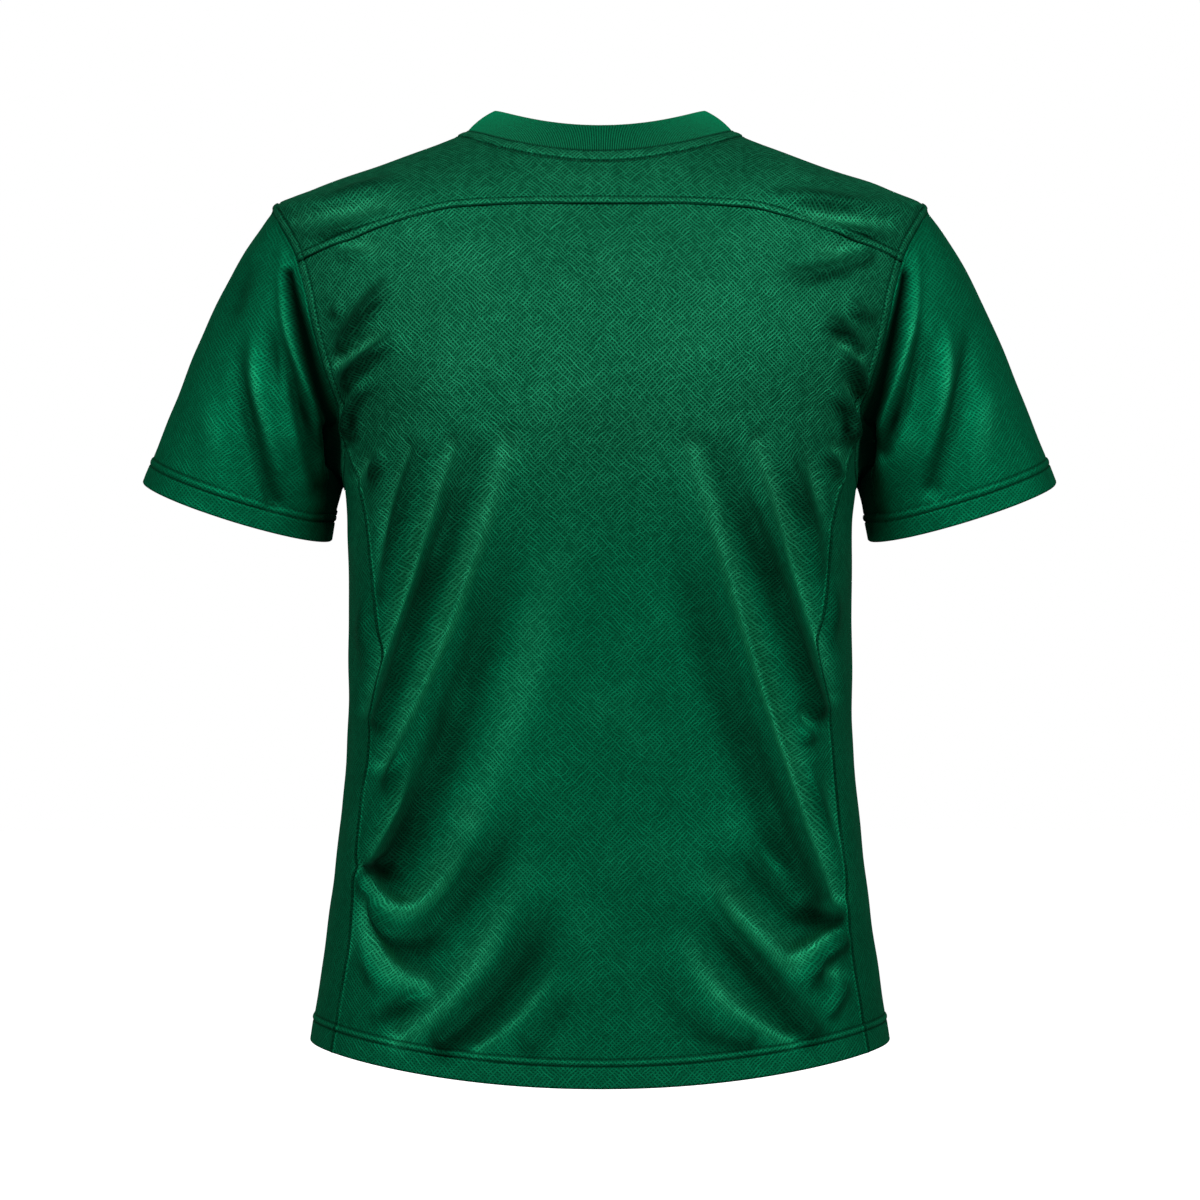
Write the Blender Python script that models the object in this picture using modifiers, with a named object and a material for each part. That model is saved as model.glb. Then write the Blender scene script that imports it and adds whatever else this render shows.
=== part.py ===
"""A short-sleeved football jersey, filled out as it is worn, with nobody inside.

Metres, +Z up. The wearer would face -Y, so the back of the jersey is on +Y and its left sleeve on +X.
The origin is in the middle of the neck, level with the shoulder seams at the collar.

The body is a family of rings round the figure, each named by the height of its side. A place on it is an
angle round the ring, 0 at the centre back and 180 at the centre front, and a ring's level. Every body
piece is a part of that one surface between its seams, and each sleeve runs from the armhole to a cuff.
"""

import math

import bpy
import numpy as np

# Cloth
WALL = 0.0016
COLLAR_WALL = 0.0026
SEAM_GAP = 0.0003
SIDE_SEAM_GAP = 0.0004
YOKE_SEAM_GAP = 0.0006
ARMHOLE_GAP = 0.0011

# Levels of the body, which are heights at the side
HEM = -0.674
UNDERARM = -0.258
PANEL_TOP = -0.219
YOKE_AT_ARMHOLE = -0.095
SHOULDER_TIP = -0.0525
NECK = 0.005

# Sleeve, as the left one: the cuff's outer and inner corners, its depth and how far it swings forwards
CUFF_OUTER = (0.3440, -0.2560)
CUFF_INNER = (0.2025, -0.3003)
CUFF_HALF_DEPTH = 0.053
CUFF_FORWARD = -0.018
SLEEVE_SWING = 0.16
CAP_SPREAD = 0.42
CUFF_SPREAD = 0.10
CAP_PULL = 0.90

# Collar: how far its top edge leans inwards and rises from the neckline
COLLAR_LEAN = {"back": 0.0110, "side": 0.0206, "front": 0.0150}
COLLAR_RISE = {"back": 0.0215, "side": 0.0167, "front": 0.0195}
COLLAR_CROWN = 0.0016

# Finish, and the two sides by their sign on X
BODY_KNIT = {"color": (0.005, 0.105, 0.042), "roughness": 0.55}
RIB_KNIT = {"color": (0.004, 0.090, 0.036), "roughness": 0.70}
SIDES = {"left": 1, "right": -1}

# How far the shoulder seam ends in front of the ridge at the neck, in degrees
SHOULDER_SEAM_SHIFT = 6.0

# Folds are whole on the back and front faces and fade out towards the sides over this depth
FOLD_FACE_DEPTH = 0.04
FOLD_STATIONS = 9

# Half of the short steps, in degrees and metres, across which the body's direction is taken
NORMAL_TURN_STEP = 0.6
NORMAL_LEVEL_STEP = 0.0015

# How finely each piece is divided
BACK_COLUMNS = 26
FRONT_COLUMNS = 18
SIDE_COLUMNS = 6
YOKE_ROWS_AT_ARMHOLE = 3
YOKE_ROWS_ON_SHOULDER = 5
BACK_ROWS_BELOW = 18
BACK_ROWS_AT_ARMHOLE = 5
SLEEVE_ROWS = 11
COLLAR_ROWS = 3


def table(columns, *rows):
    """The rows as one array for each named column."""
    return dict(zip(columns, np.array(rows, float).T))


BODY_RINGS = table(
    ("level", "half_width", "back_depth", "front_depth", "back_height", "front_height", "squareness"),
    (-0.674, 0.2168, 0.1230, 0.1250, -0.698, -0.692, 2.30),
    (-0.600, 0.2055, 0.1200, 0.1230, -0.615, -0.612, 2.30),
    (-0.520, 0.1955, 0.1180, 0.1220, -0.526, -0.525, 2.30),
    (-0.430, 0.1885, 0.1175, 0.1220, -0.431, -0.432, 2.35),
    (-0.345, 0.1883, 0.1200, 0.1230, -0.345, -0.347, 2.40),
    (-0.290, 0.1888, 0.1240, 0.1240, -0.290, -0.294, 2.40),
    (-0.258, 0.1920, 0.1265, 0.1240, -0.258, -0.264, 2.40),
    (-0.212, 0.1990, 0.1280, 0.1225, -0.212, -0.226, 2.40),
    (-0.175, 0.2194, 0.1260, 0.1200, -0.175, -0.200, 2.40),
    (-0.127, 0.2341, 0.1180, 0.1150, -0.127, -0.172, 2.40),
    (-0.093, 0.2390, 0.1070, 0.1090, -0.094, -0.152, 2.35),
    (-0.0525, 0.2440, 0.0900, 0.1000, -0.0560, -0.130, 2.25),
    (-0.0375, 0.2142, 0.0850, 0.0950, -0.0450, -0.120, 2.20),
    (-0.0200, 0.1655, 0.0790, 0.0880, -0.0340, -0.108, 2.15),
    (-0.0050, 0.1245, 0.0730, 0.0810, -0.0240, -0.098, 2.10),
    (0.0050, 0.0994, 0.0670, 0.0750, -0.0160, -0.088, 2.00),
)

ARMHOLE = table(
    ("level", "back_angle", "front_angle"),
    (-0.2580, 90.0, 90.0),
    (-0.2450, 81.0, 80.0),
    (-0.2190, 75.0, 73.0),
    (-0.1750, 67.0, 63.5),
    (-0.1270, 66.0, 62.0),
    (-0.0930, 69.0, 65.5),
    (-0.0620, 79.0, 77.0),
    (-0.0525, 90.0, 90.0),
)

SIDE_SEAMS = table(
    ("level", "back_angle", "front_angle"),
    (-0.674, 65.5, 63.0),
    (-0.600, 64.5, 62.5),
    (-0.540, 66.0, 62.0),
    (-0.440, 63.5, 61.0),
    (-0.380, 60.0, 60.0),
    (-0.320, 63.0, 61.5),
    (-0.270, 66.5, 65.0),
    (-0.219, 75.0, 73.0),
)

YOKE_SEAM = table(
    ("share", "level"),
    (0.00, -0.0520),
    (0.15, -0.0525),
    (0.29, -0.0552),
    (0.42, -0.0622),
    (0.56, -0.0715),
    (0.76, -0.0835),
    (1.00, YOKE_AT_ARMHOLE),
)

# Largest folds of the body, behind and in front. Each bends through three places, and its depth is how far
# it stands out there: more than 0 on a ridge, less than 0 in a trough.
FOLD_COLUMNS = ("x0", "z0", "x1", "z1", "x2", "z2", "width", "depth0", "depth1", "depth2")
BACK_FOLDS = table(
    FOLD_COLUMNS,
    (0.126, -0.230, 0.145, -0.281, 0.159, -0.338, 0.009, -0.002, -0.006, -0.002),
    (0.108, -0.232, 0.144, -0.332, 0.175, -0.425, 0.009, 0.002, 0.008, 0.003),
    (0.087, -0.230, 0.122, -0.327, 0.161, -0.433, 0.011, -0.002, -0.010, -0.006),
    (0.069, -0.232, 0.110, -0.353, 0.162, -0.465, 0.011, 0.002, 0.010, 0.005),
    (0.060, -0.265, 0.098, -0.412, 0.150, -0.537, 0.014, 0.000, -0.007, -0.010),
    (0.030, -0.290, 0.055, -0.400, 0.095, -0.502, 0.017, 0.000, 0.004, 0.002),
    (0.098, -0.507, 0.138, -0.566, 0.172, -0.547, 0.012, 0.002, 0.010, 0.005),
    (0.050, -0.475, 0.085, -0.537, 0.128, -0.592, 0.013, 0.000, -0.006, -0.005),
    (0.172, -0.580, 0.160, -0.604, 0.128, -0.625, 0.012, 0.003, 0.008, 0.005),
    (0.058, -0.540, 0.095, -0.612, 0.147, -0.662, 0.013, 0.001, 0.005, 0.005),
    (0.035, -0.537, 0.058, -0.604, 0.112, -0.664, 0.015, 0.000, -0.006, -0.006),
    (-0.124, -0.226, -0.147, -0.272, -0.161, -0.322, 0.009, 0.000, -0.006, -0.002),
    (-0.114, -0.230, -0.146, -0.320, -0.173, -0.416, 0.009, 0.002, 0.008, 0.004),
    (-0.083, -0.228, -0.124, -0.328, -0.158, -0.424, 0.012, -0.002, -0.010, -0.008),
    (-0.068, -0.234, -0.119, -0.394, -0.176, -0.564, 0.011, 0.003, 0.010, 0.005),
    (-0.048, -0.245, -0.095, -0.420, -0.150, -0.560, 0.015, 0.000, -0.006, -0.008),
    (-0.076, -0.528, -0.102, -0.570, -0.142, -0.605, 0.013, 0.000, 0.009, 0.006),
    (-0.070, -0.545, -0.103, -0.600, -0.152, -0.658, 0.012, 0.000, -0.008, -0.006),
    (-0.056, -0.570, -0.086, -0.626, -0.138, -0.663, 0.012, 0.000, 0.006, 0.005),
)
FRONT_FOLDS = table(
    FOLD_COLUMNS,
    (0.118, -0.250, 0.138, -0.340, 0.160, -0.430, 0.013, 0.000, -0.010, -0.005),
    (0.096, -0.252, 0.116, -0.370, 0.156, -0.480, 0.013, 0.000, 0.008, 0.005),
    (0.060, -0.330, 0.082, -0.450, 0.126, -0.560, 0.016, 0.000, 0.006, 0.004),
    (0.166, -0.556, 0.120, -0.530, 0.072, -0.450, 0.014, -0.008, -0.007, 0.000),
    (0.168, -0.610, 0.124, -0.632, 0.032, -0.520, 0.015, -0.004, -0.008, 0.000),
    (-0.120, -0.246, -0.136, -0.330, -0.156, -0.410, 0.013, 0.000, -0.010, -0.005),
    (-0.092, -0.250, -0.118, -0.380, -0.152, -0.470, 0.014, 0.000, 0.008, 0.005),
    (-0.050, -0.340, -0.080, -0.460, -0.118, -0.570, 0.017, 0.000, 0.006, 0.000),
    (-0.168, -0.560, -0.134, -0.530, -0.100, -0.460, 0.014, -0.008, -0.007, 0.000),
    (-0.158, -0.640, -0.112, -0.620, -0.040, -0.530, 0.016, -0.005, -0.008, 0.000),
)

# Largest folds of a sleeve: turn is 0 at the top, 90 behind and 270 in front, along runs to the cuff, and
# each is whole between its two places and fades out beyond them
SLEEVE_FOLD_FADE = 0.3
SLEEVE_FOLDS = table(
    ("turn0", "along0", "turn1", "along1", "width", "depth"),
    (78, 0.10, 118, 0.55, 12, -0.009),
    (98, 0.08, 132, 0.45, 8, 0.004),
    (50, 0.25, 70, 0.85, 16, 0.005),
    (282, 0.10, 245, 0.55, 12, -0.008),
    (310, 0.25, 292, 0.85, 16, 0.005),
)


def smooth(place, stations, values):
    """A smooth curve through the values, with no swing beyond them."""
    place = np.clip(place, stations[0], stations[-1])
    span = np.diff(stations)
    slope = np.diff(values) / span
    before, after = slope[:-1], slope[1:]
    steady = before * after > 0
    middle = np.zeros(len(before))
    middle[steady] = 2 * before[steady] * after[steady] / (before[steady] + after[steady])
    tangent = np.concatenate(([slope[0]], middle, [slope[-1]]))
    part = np.clip(np.searchsorted(stations, place, side="right") - 1, 0, len(span) - 1)
    t = (place - stations[part]) / span[part]
    return (
        values[part] * (1 + 2 * t) * (1 - t) ** 2
        + tangent[part] * span[part] * t * (1 - t) ** 2
        + values[part + 1] * t * t * (3 - 2 * t)
        + tangent[part + 1] * span[part] * t * t * (t - 1)
    )


def column(name, place, of, by="level"):
    """A table's named column at each value of its first column."""
    return smooth(place, of[by], of[name])


def unit(vectors):
    return vectors / np.maximum(np.linalg.norm(vectors, axis=-1, keepdims=True), 1e-12)


def ring_point(angle, level):
    """A place on the smooth body: across by the sine of the angle, and deep by the ring's squareness."""
    turn = np.radians(angle)
    across = np.sin(turn)
    behind = np.cos(turn) >= 0
    power = column("squareness", level, BODY_RINGS)
    rounding = np.clip(1 - np.abs(across) ** power, 0, 1) ** (1 / power)
    back_depth = column("back_depth", level, BODY_RINGS)
    front_depth = column("front_depth", level, BODY_RINGS)
    back_drop = column("back_height", level, BODY_RINGS) - level
    front_drop = column("front_height", level, BODY_RINGS) - level
    return np.stack(
        (
            column("half_width", level, BODY_RINGS) * across,
            np.where(behind, back_depth, -front_depth) * rounding,
            level + np.where(behind, back_drop, front_drop) * np.cos(turn) ** 2,
        ),
        axis=-1,
    )


def ring_normal(angle, level):
    """The smooth body's outward direction, from two short steps on it."""
    level = np.clip(level, HEM + NORMAL_LEVEL_STEP, NECK - NORMAL_LEVEL_STEP)
    round_it = ring_point(angle + NORMAL_TURN_STEP, level) - ring_point(angle - NORMAL_TURN_STEP, level)
    up_it = ring_point(angle, level + NORMAL_LEVEL_STEP) - ring_point(angle, level - NORMAL_LEVEL_STEP)
    return unit(np.cross(round_it, up_it))


def ramp(share):
    """0 below 0, 1 above 1, and an even S curve between."""
    share = np.clip(share, 0, 1)
    return share * share * (3 - 2 * share)


def beside_line(places, line):
    """How far each place is from a bent line, and the share of the line's length where it is nearest."""
    leg = np.diff(line, axis=0)
    away = places[..., None, :] - line[:-1]
    along = np.clip((away * leg).sum(-1) / (leg * leg).sum(-1), 0, 1)
    distance = np.linalg.norm(away - along[..., None] * leg, axis=-1)
    nearest = distance.argmin(axis=-1)[..., None]
    share = (nearest + np.take_along_axis(along, nearest, -1)) / len(leg)
    return np.take_along_axis(distance, nearest, -1)[..., 0], share[..., 0]


def fold_height(points, folds):
    """The sum of the folds at each place: every one is a soft bar along a curve through its three places."""
    places = points[..., [0, 2]]
    t = np.linspace(0, 1, FOLD_STATIONS)[:, None]
    total = np.zeros(places.shape[:-1])
    for x0, z0, x1, z1, x2, z2, width, depth0, depth1, depth2 in zip(*folds.values()):
        first, middle, last = np.array(((x0, z0), (x1, z1), (x2, z2)))
        line = first * (2 * t - 1) * (t - 1) + middle * 4 * t * (1 - t) + last * t * (2 * t - 1)
        distance, share = beside_line(places, line)
        depth = depth0 + (depth1 - depth0) * ramp(2 * share) + (depth2 - depth1) * ramp(2 * share - 1)
        total += depth * np.exp(-((distance / width) ** 2))
    return total


def body_folds(points):
    """How far out each place of the body lies, by the folds of the face that it is on."""
    behind = np.clip(points[..., 1] / FOLD_FACE_DEPTH, 0, 1)
    ahead = np.clip(-points[..., 1] / FOLD_FACE_DEPTH, 0, 1)
    return behind * fold_height(points, BACK_FOLDS) + ahead * fold_height(points, FRONT_FOLDS)


def body_point(angle, level):
    """A place on the body's cloth, folds and all."""
    angle, level = np.broadcast_arrays(np.asarray(angle, float), np.asarray(level, float))
    smooth_point = ring_point(angle, level)
    return smooth_point + ring_normal(angle, level) * body_folds(smooth_point)[..., None]


def armhole_angle(level, behind=True):
    return column("back_angle" if behind else "front_angle", level, ARMHOLE)


def seam_angle(level, behind=True):
    return column("back_angle" if behind else "front_angle", level, SIDE_SEAMS)


def shoulder_seam_angle(level):
    """The shoulder seam leaves the ridge at the tip and ends a little in front of it at the neck."""
    share = np.clip((level - SHOULDER_TIP) / (NECK - SHOULDER_TIP), 0, 1)
    return 90 + SHOULDER_SEAM_SHIFT * np.sin(share * math.pi / 2)


def edge_angle(level, behind):
    """Where a panel ends on its way round from its centre: at a side seam, the armhole or the shoulder."""
    shoulder = shoulder_seam_angle(level) if behind else 180 - shoulder_seam_angle(level)
    above = np.where(level < SHOULDER_TIP, armhole_angle(level, behind), shoulder)
    return np.where(level < PANEL_TOP, seam_angle(level, behind), above)


def levels_at_tip():
    """Levels from the yoke seam's end to the shoulder tip, closer together where the armhole turns over."""
    part = np.linspace(1, 0, YOKE_ROWS_AT_ARMHOLE + 1)
    return SHOULDER_TIP + (YOKE_AT_ARMHOLE - SHOULDER_TIP) * part**2


def edge_levels(lowest, highest):
    """The levels of a panel's rows at its edge, from its hem or seam up to its top."""
    parts = (
        np.linspace(HEM, PANEL_TOP, BACK_ROWS_BELOW + 1),
        np.linspace(PANEL_TOP, YOKE_AT_ARMHOLE, BACK_ROWS_AT_ARMHOLE + 1)[1:],
        levels_at_tip()[1:],
        np.linspace(SHOULDER_TIP, NECK, YOKE_ROWS_ON_SHOULDER + 1)[1:],
    )
    levels = np.concatenate(parts)
    return levels[(levels > lowest - 1e-6) & (levels < highest + 1e-6)]


def yoke_level(share):
    return column("level", share, YOKE_SEAM, by="share")


def panel_grid(columns, bottom, top, behind):
    """Rows of points between two seams, whose levels are given by their share of the way to the edge.

    Every column has the rows of its edge, squeezed or stretched to reach from seam to seam.
    """
    across = np.linspace(-1, 1, columns + 1)
    share = np.abs(across)[None, :]
    rows = edge_levels(bottom(1.0), top(1.0))
    rows = ((rows - rows[0]) / (rows[-1] - rows[0]))[:, None]
    level = bottom(share) * (1 - rows) + top(share) * rows
    angle = across * edge_angle(level, behind)
    return body_point(-angle if behind else 180 - angle, level)


def straight_seam(level):
    """A straight seam at one level, in the form that panel_grid takes."""
    return lambda share: level + 0 * share


def back_grid():
    return panel_grid(BACK_COLUMNS, straight_seam(HEM), yoke_level, behind=True)


def yoke_grid():
    return panel_grid(BACK_COLUMNS, yoke_level, straight_seam(NECK), behind=True)


def front_grid():
    return panel_grid(FRONT_COLUMNS, straight_seam(HEM), straight_seam(NECK), behind=False)


def underarm_level(share, behind):
    """Where a side panel's column meets the armhole; share is 0 on its seam and 1 under the arm."""
    level = np.linspace(UNDERARM, PANEL_TOP, 60)
    edge = armhole_angle(level, behind)
    seam = seam_angle(level, behind)
    place = (edge - seam) / (90 - seam)
    return np.interp(share, place[::-1], level[::-1])


def side_grid(side):
    """A side panel, from its back seam round to its front seam, up to the armhole. side is 1 on the left."""
    halves = []
    for behind in (True, False):
        share = np.linspace(0, 1, SIDE_COLUMNS // 2 + 1)
        top = underarm_level(share, behind)
        rows = np.linspace(0, 1, BACK_ROWS_BELOW + 1)[:, None]
        level = HEM + rows * (top - HEM)
        seam = seam_angle(level, behind)
        angle = seam + share * (90 - seam)
        points = body_point(side * (angle if behind else 180 - angle), level)
        halves.append(points if behind else points[:, ::-1][:, 1:])
    return np.concatenate(halves, axis=1)


def armhole_loop(side):
    """An armhole's edge, from the shoulder tip down behind, under the arm and up in front."""
    upper = edge_levels(PANEL_TOP, SHOULDER_TIP)[::-1]
    share = np.linspace(0, 1, SIDE_COLUMNS // 2 + 1)[1:]
    loop = []
    for behind in (True, False):
        levels = np.concatenate((upper, underarm_level(share, behind)))
        angle = armhole_angle(levels, behind)
        points = body_point(side * (angle if behind else 180 - angle), levels)
        loop.append(points if behind else points[::-1][1:-1])
    return np.concatenate(loop)


def sleeve_frame():
    """The cuff's middle, its outward and backward half-axes, and the way that the sleeve points."""
    outer = np.array((CUFF_OUTER[0], CUFF_FORWARD, CUFF_OUTER[1]))
    inner = np.array((CUFF_INNER[0], CUFF_FORWARD, CUFF_INNER[1]))
    outward = (outer - inner) / 2
    down = unit(np.array((outward[2], 0, -outward[0])))
    along = unit(down + np.array((0, -SLEEVE_SWING, 0)))
    backward = unit(np.array((0, 1, 0)) - along[1] * along)
    return (outer + inner) / 2, outward, backward * CUFF_HALF_DEPTH, along


def sleeve_turns(loop):
    """Each armhole point's turn round the sleeve, 0 on top and 180 under the arm, by its share of the way."""
    count = len(loop)
    closed = np.concatenate((loop, loop[:1]))
    steps = np.linalg.norm(np.diff(closed, axis=0), axis=1)
    run = np.concatenate(([0], np.cumsum(steps)))
    under = int(np.argmin(loop[:, 2]))
    first = 180 * run[: under + 1] / run[under]
    second = 180 + 180 * (run[under + 1 : count] - run[under]) / (run[-1] - run[under])
    return np.concatenate((first, second))


def sleeve_fold(turn, along):
    """How far out each place of the sleeve lies: folds are soft bars from the armhole to the cuff."""
    total = np.zeros(np.broadcast(turn, along).shape)
    for turn0, along0, turn1, along1, width, depth in zip(*SLEEVE_FOLDS.values()):
        share = (along - along0) / (along1 - along0)
        middle = turn0 + (turn1 - turn0) * share
        fade = ramp(1 + np.minimum(share, 1 - share) / SLEEVE_FOLD_FADE)
        total += depth * np.exp(-(((turn - middle) / width) ** 2)) * fade
    return total


def sleeve_grid(side):
    """A sleeve: cubic curves that leave the armhole over the cap and reach the cuff along the arm.

    It is worked out as a left one, and turned over at the end when side is -1.
    """
    over = np.array((side, 1, 1))
    loop = armhole_loop(side) * over
    turn = sleeve_turns(loop)
    middle, outward, backward, along_arm = sleeve_frame()
    cosine = np.cos(np.radians(turn))[:, None]
    sine = np.sin(np.radians(turn))[:, None]
    cuff = middle + outward * cosine + backward * sine
    reach = np.linalg.norm(cuff - loop, axis=1)[:, None]
    radial = unit(outward) * cosine + unit(backward) * sine
    leave = unit(along_arm + CAP_SPREAD * (1 + cosine) / 2 * radial) * reach * CAP_PULL
    arrive = unit(along_arm + CUFF_SPREAD * radial) * reach
    t = np.linspace(0, 1, SLEEVE_ROWS + 1)[:, None, None]
    grid = (
        loop * (1 + 2 * t) * (1 - t) ** 2
        + leave * t * (1 - t) ** 2
        + cuff * t * t * (3 - 2 * t)
        + arrive * t * t * (t - 1)
    )
    return (grid + radial * sleeve_fold(turn[None, :], t[..., 0])[..., None]) * over


def by_place(values, angle):
    """A size that is given behind, at the sides and in front, at each angle round the neck."""
    square = np.cos(np.radians(angle)) ** 2
    ends = np.where(np.cos(np.radians(angle)) >= 0, values["back"], values["front"])
    return ends * square + values["side"] * (1 - square)


def neck_angles():
    """The neckline's angles, at the same places as the columns of the yoke and the front."""
    behind = np.linspace(1, -1, BACK_COLUMNS + 1) * edge_angle(np.array(NECK), True)
    front = 180 + np.linspace(1, -1, FRONT_COLUMNS + 1) * edge_angle(np.array(NECK), False)
    return np.concatenate((behind, front[1:-1]))


def collar_grid():
    """The rib stands on the neckline and leans in: each rib is a shallow arc from its seam to its fold."""
    angle = neck_angles()
    seam = body_point(angle, np.full(angle.shape, NECK))
    inward = unit(np.stack((-seam[:, 0], -seam[:, 1], 0 * angle), axis=1))
    lean = inward * by_place(COLLAR_LEAN, angle)[:, None]
    rise = np.stack((0 * angle, 0 * angle, by_place(COLLAR_RISE, angle)), axis=1)
    up = lean + rise
    inside = unit(np.cross(up, np.cross(inward, up)))
    t = np.linspace(0, 1, COLLAR_ROWS + 1)[:, None, None]
    return seam + up * t - inside * COLLAR_CROWN * 4 * t * (1 - t)


def pull_in(grid, edge, distance):
    """The grid with one edge moved back from its seam, along the cloth."""
    grid = grid.copy()
    order = {"bottom": grid, "top": grid[::-1], "first": grid.swapaxes(0, 1)}
    lines = order.get(edge, grid.swapaxes(0, 1)[::-1])
    lines[0] += unit(lines[1] - lines[0]) * distance
    return grid


def knit(name, color, roughness):
    material = bpy.data.materials.new(name)
    material.use_nodes = True
    shader = material.node_tree.nodes["Principled BSDF"]
    shader.inputs["Base Color"].default_value = (*color, 1)
    shader.inputs["Roughness"].default_value = roughness
    shader.inputs["Metallic"].default_value = 0
    material.diffuse_color = (*color, 1)
    return material


def cloth(name, grid, material, wall, closed=False):
    """An open sheet through the grid's points, thickened inwards. A closed one is joined into a tube.

    Seen from outside, the columns run from left to right and the rows from bottom to top, or both turned.
    """
    rows, columns = grid.shape[:2]
    index = np.arange(rows * columns).reshape(rows, columns)
    if closed:
        index = np.concatenate((index, index[:, :1]), axis=1)
    faces = np.stack((index[:-1, :-1], index[:-1, 1:], index[1:, 1:], index[1:, :-1]), axis=-1)
    # the halves divide their faces opposite ways, so that both follow folds that run down and outwards
    middle = faces.shape[1] // 2
    faces[:, middle:] = np.roll(faces[:, middle:], 1, axis=-1)
    mesh = bpy.data.meshes.new(name)
    mesh.from_pydata(grid.reshape(-1, 3).tolist(), [], faces.reshape(-1, 4).tolist())
    mesh.materials.append(material)
    mesh.shade_smooth()
    piece = bpy.data.objects.new(name, mesh)
    bpy.data.collections["football_jersey"].objects.link(piece)
    wall_modifier = piece.modifiers.new("wall", "SOLIDIFY")
    wall_modifier.thickness = wall
    wall_modifier.offset = -1
    return piece


def add_body():
    back = pull_in(back_grid(), "top", YOKE_SEAM_GAP)
    back = pull_in(pull_in(back, "first", SIDE_SEAM_GAP), "last", SIDE_SEAM_GAP)
    cloth("back_panel", back, knit("back_knit", **BODY_KNIT), WALL)
    yoke = pull_in(pull_in(yoke_grid(), "bottom", YOKE_SEAM_GAP), "top", SEAM_GAP)
    yoke = pull_in(pull_in(yoke, "first", YOKE_SEAM_GAP), "last", YOKE_SEAM_GAP)
    cloth("back_yoke", yoke, knit("yoke_knit", **BODY_KNIT), WALL)
    front = pull_in(front_grid(), "top", SEAM_GAP)
    front = pull_in(pull_in(front, "first", SIDE_SEAM_GAP), "last", SIDE_SEAM_GAP)
    cloth("front_panel", front, knit("front_knit", **BODY_KNIT), WALL)
    for name, side in SIDES.items():
        panel = pull_in(side_grid(side)[:, ::-side], "top", SEAM_GAP)
        panel = pull_in(pull_in(panel, "first", SIDE_SEAM_GAP), "last", SIDE_SEAM_GAP)
        cloth(f"side_panel_{name}", panel, knit(f"side_{name}_knit", **BODY_KNIT), WALL)


def add_sleeves():
    for name, side in SIDES.items():
        sleeve = pull_in(sleeve_grid(side)[:, ::-side], "bottom", ARMHOLE_GAP)
        cloth(f"sleeve_{name}", sleeve, knit(f"sleeve_{name}_knit", **BODY_KNIT), WALL, closed=True)


def add_collar():
    rib = pull_in(collar_grid(), "bottom", SEAM_GAP)
    cloth("collar", rib, knit("rib_knit", **RIB_KNIT), COLLAR_WALL, closed=True)


def main():
    for thing in list(bpy.data.objects):
        bpy.data.objects.remove(thing, do_unlink=True)
    bpy.context.scene.collection.children.link(bpy.data.collections.new("football_jersey"))
    add_body()
    add_sleeves()
    add_collar()


main()
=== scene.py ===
import math

import bpy
import numpy as np
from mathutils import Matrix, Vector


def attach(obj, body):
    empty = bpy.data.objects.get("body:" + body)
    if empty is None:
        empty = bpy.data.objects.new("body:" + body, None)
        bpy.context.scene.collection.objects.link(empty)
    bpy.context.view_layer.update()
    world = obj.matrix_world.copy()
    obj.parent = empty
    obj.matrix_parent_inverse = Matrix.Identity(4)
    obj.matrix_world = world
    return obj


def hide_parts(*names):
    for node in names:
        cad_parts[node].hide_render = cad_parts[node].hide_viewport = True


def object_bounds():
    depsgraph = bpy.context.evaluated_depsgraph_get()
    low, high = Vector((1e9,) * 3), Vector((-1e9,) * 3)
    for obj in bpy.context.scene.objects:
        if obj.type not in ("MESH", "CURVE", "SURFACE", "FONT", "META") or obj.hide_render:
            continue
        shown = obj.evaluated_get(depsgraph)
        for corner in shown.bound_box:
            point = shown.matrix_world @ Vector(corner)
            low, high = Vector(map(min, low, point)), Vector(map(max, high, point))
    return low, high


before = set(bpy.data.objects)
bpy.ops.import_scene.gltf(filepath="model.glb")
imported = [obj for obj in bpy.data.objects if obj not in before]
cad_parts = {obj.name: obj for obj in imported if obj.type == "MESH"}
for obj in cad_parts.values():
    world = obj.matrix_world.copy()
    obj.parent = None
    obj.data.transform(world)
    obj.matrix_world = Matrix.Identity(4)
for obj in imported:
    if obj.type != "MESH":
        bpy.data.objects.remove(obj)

cadBox = [list(corner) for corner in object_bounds()]
print("frame loaded:", len(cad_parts), "cloth pieces")


# the jersey's form, in metres: +Z up, +Y out of the wearer's back, +X to the wearer's left


def table(columns, *rows):
    # one array for each named column
    return dict(zip(columns.split(), np.array(rows, float).T))


levels = {
    "hem": -0.674,
    "underarm": -0.258,
    "panelTop": -0.219,
    "yokeEnd": -0.095,
    "tip": -0.0525,
    "neck": 0.005,
}

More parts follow.
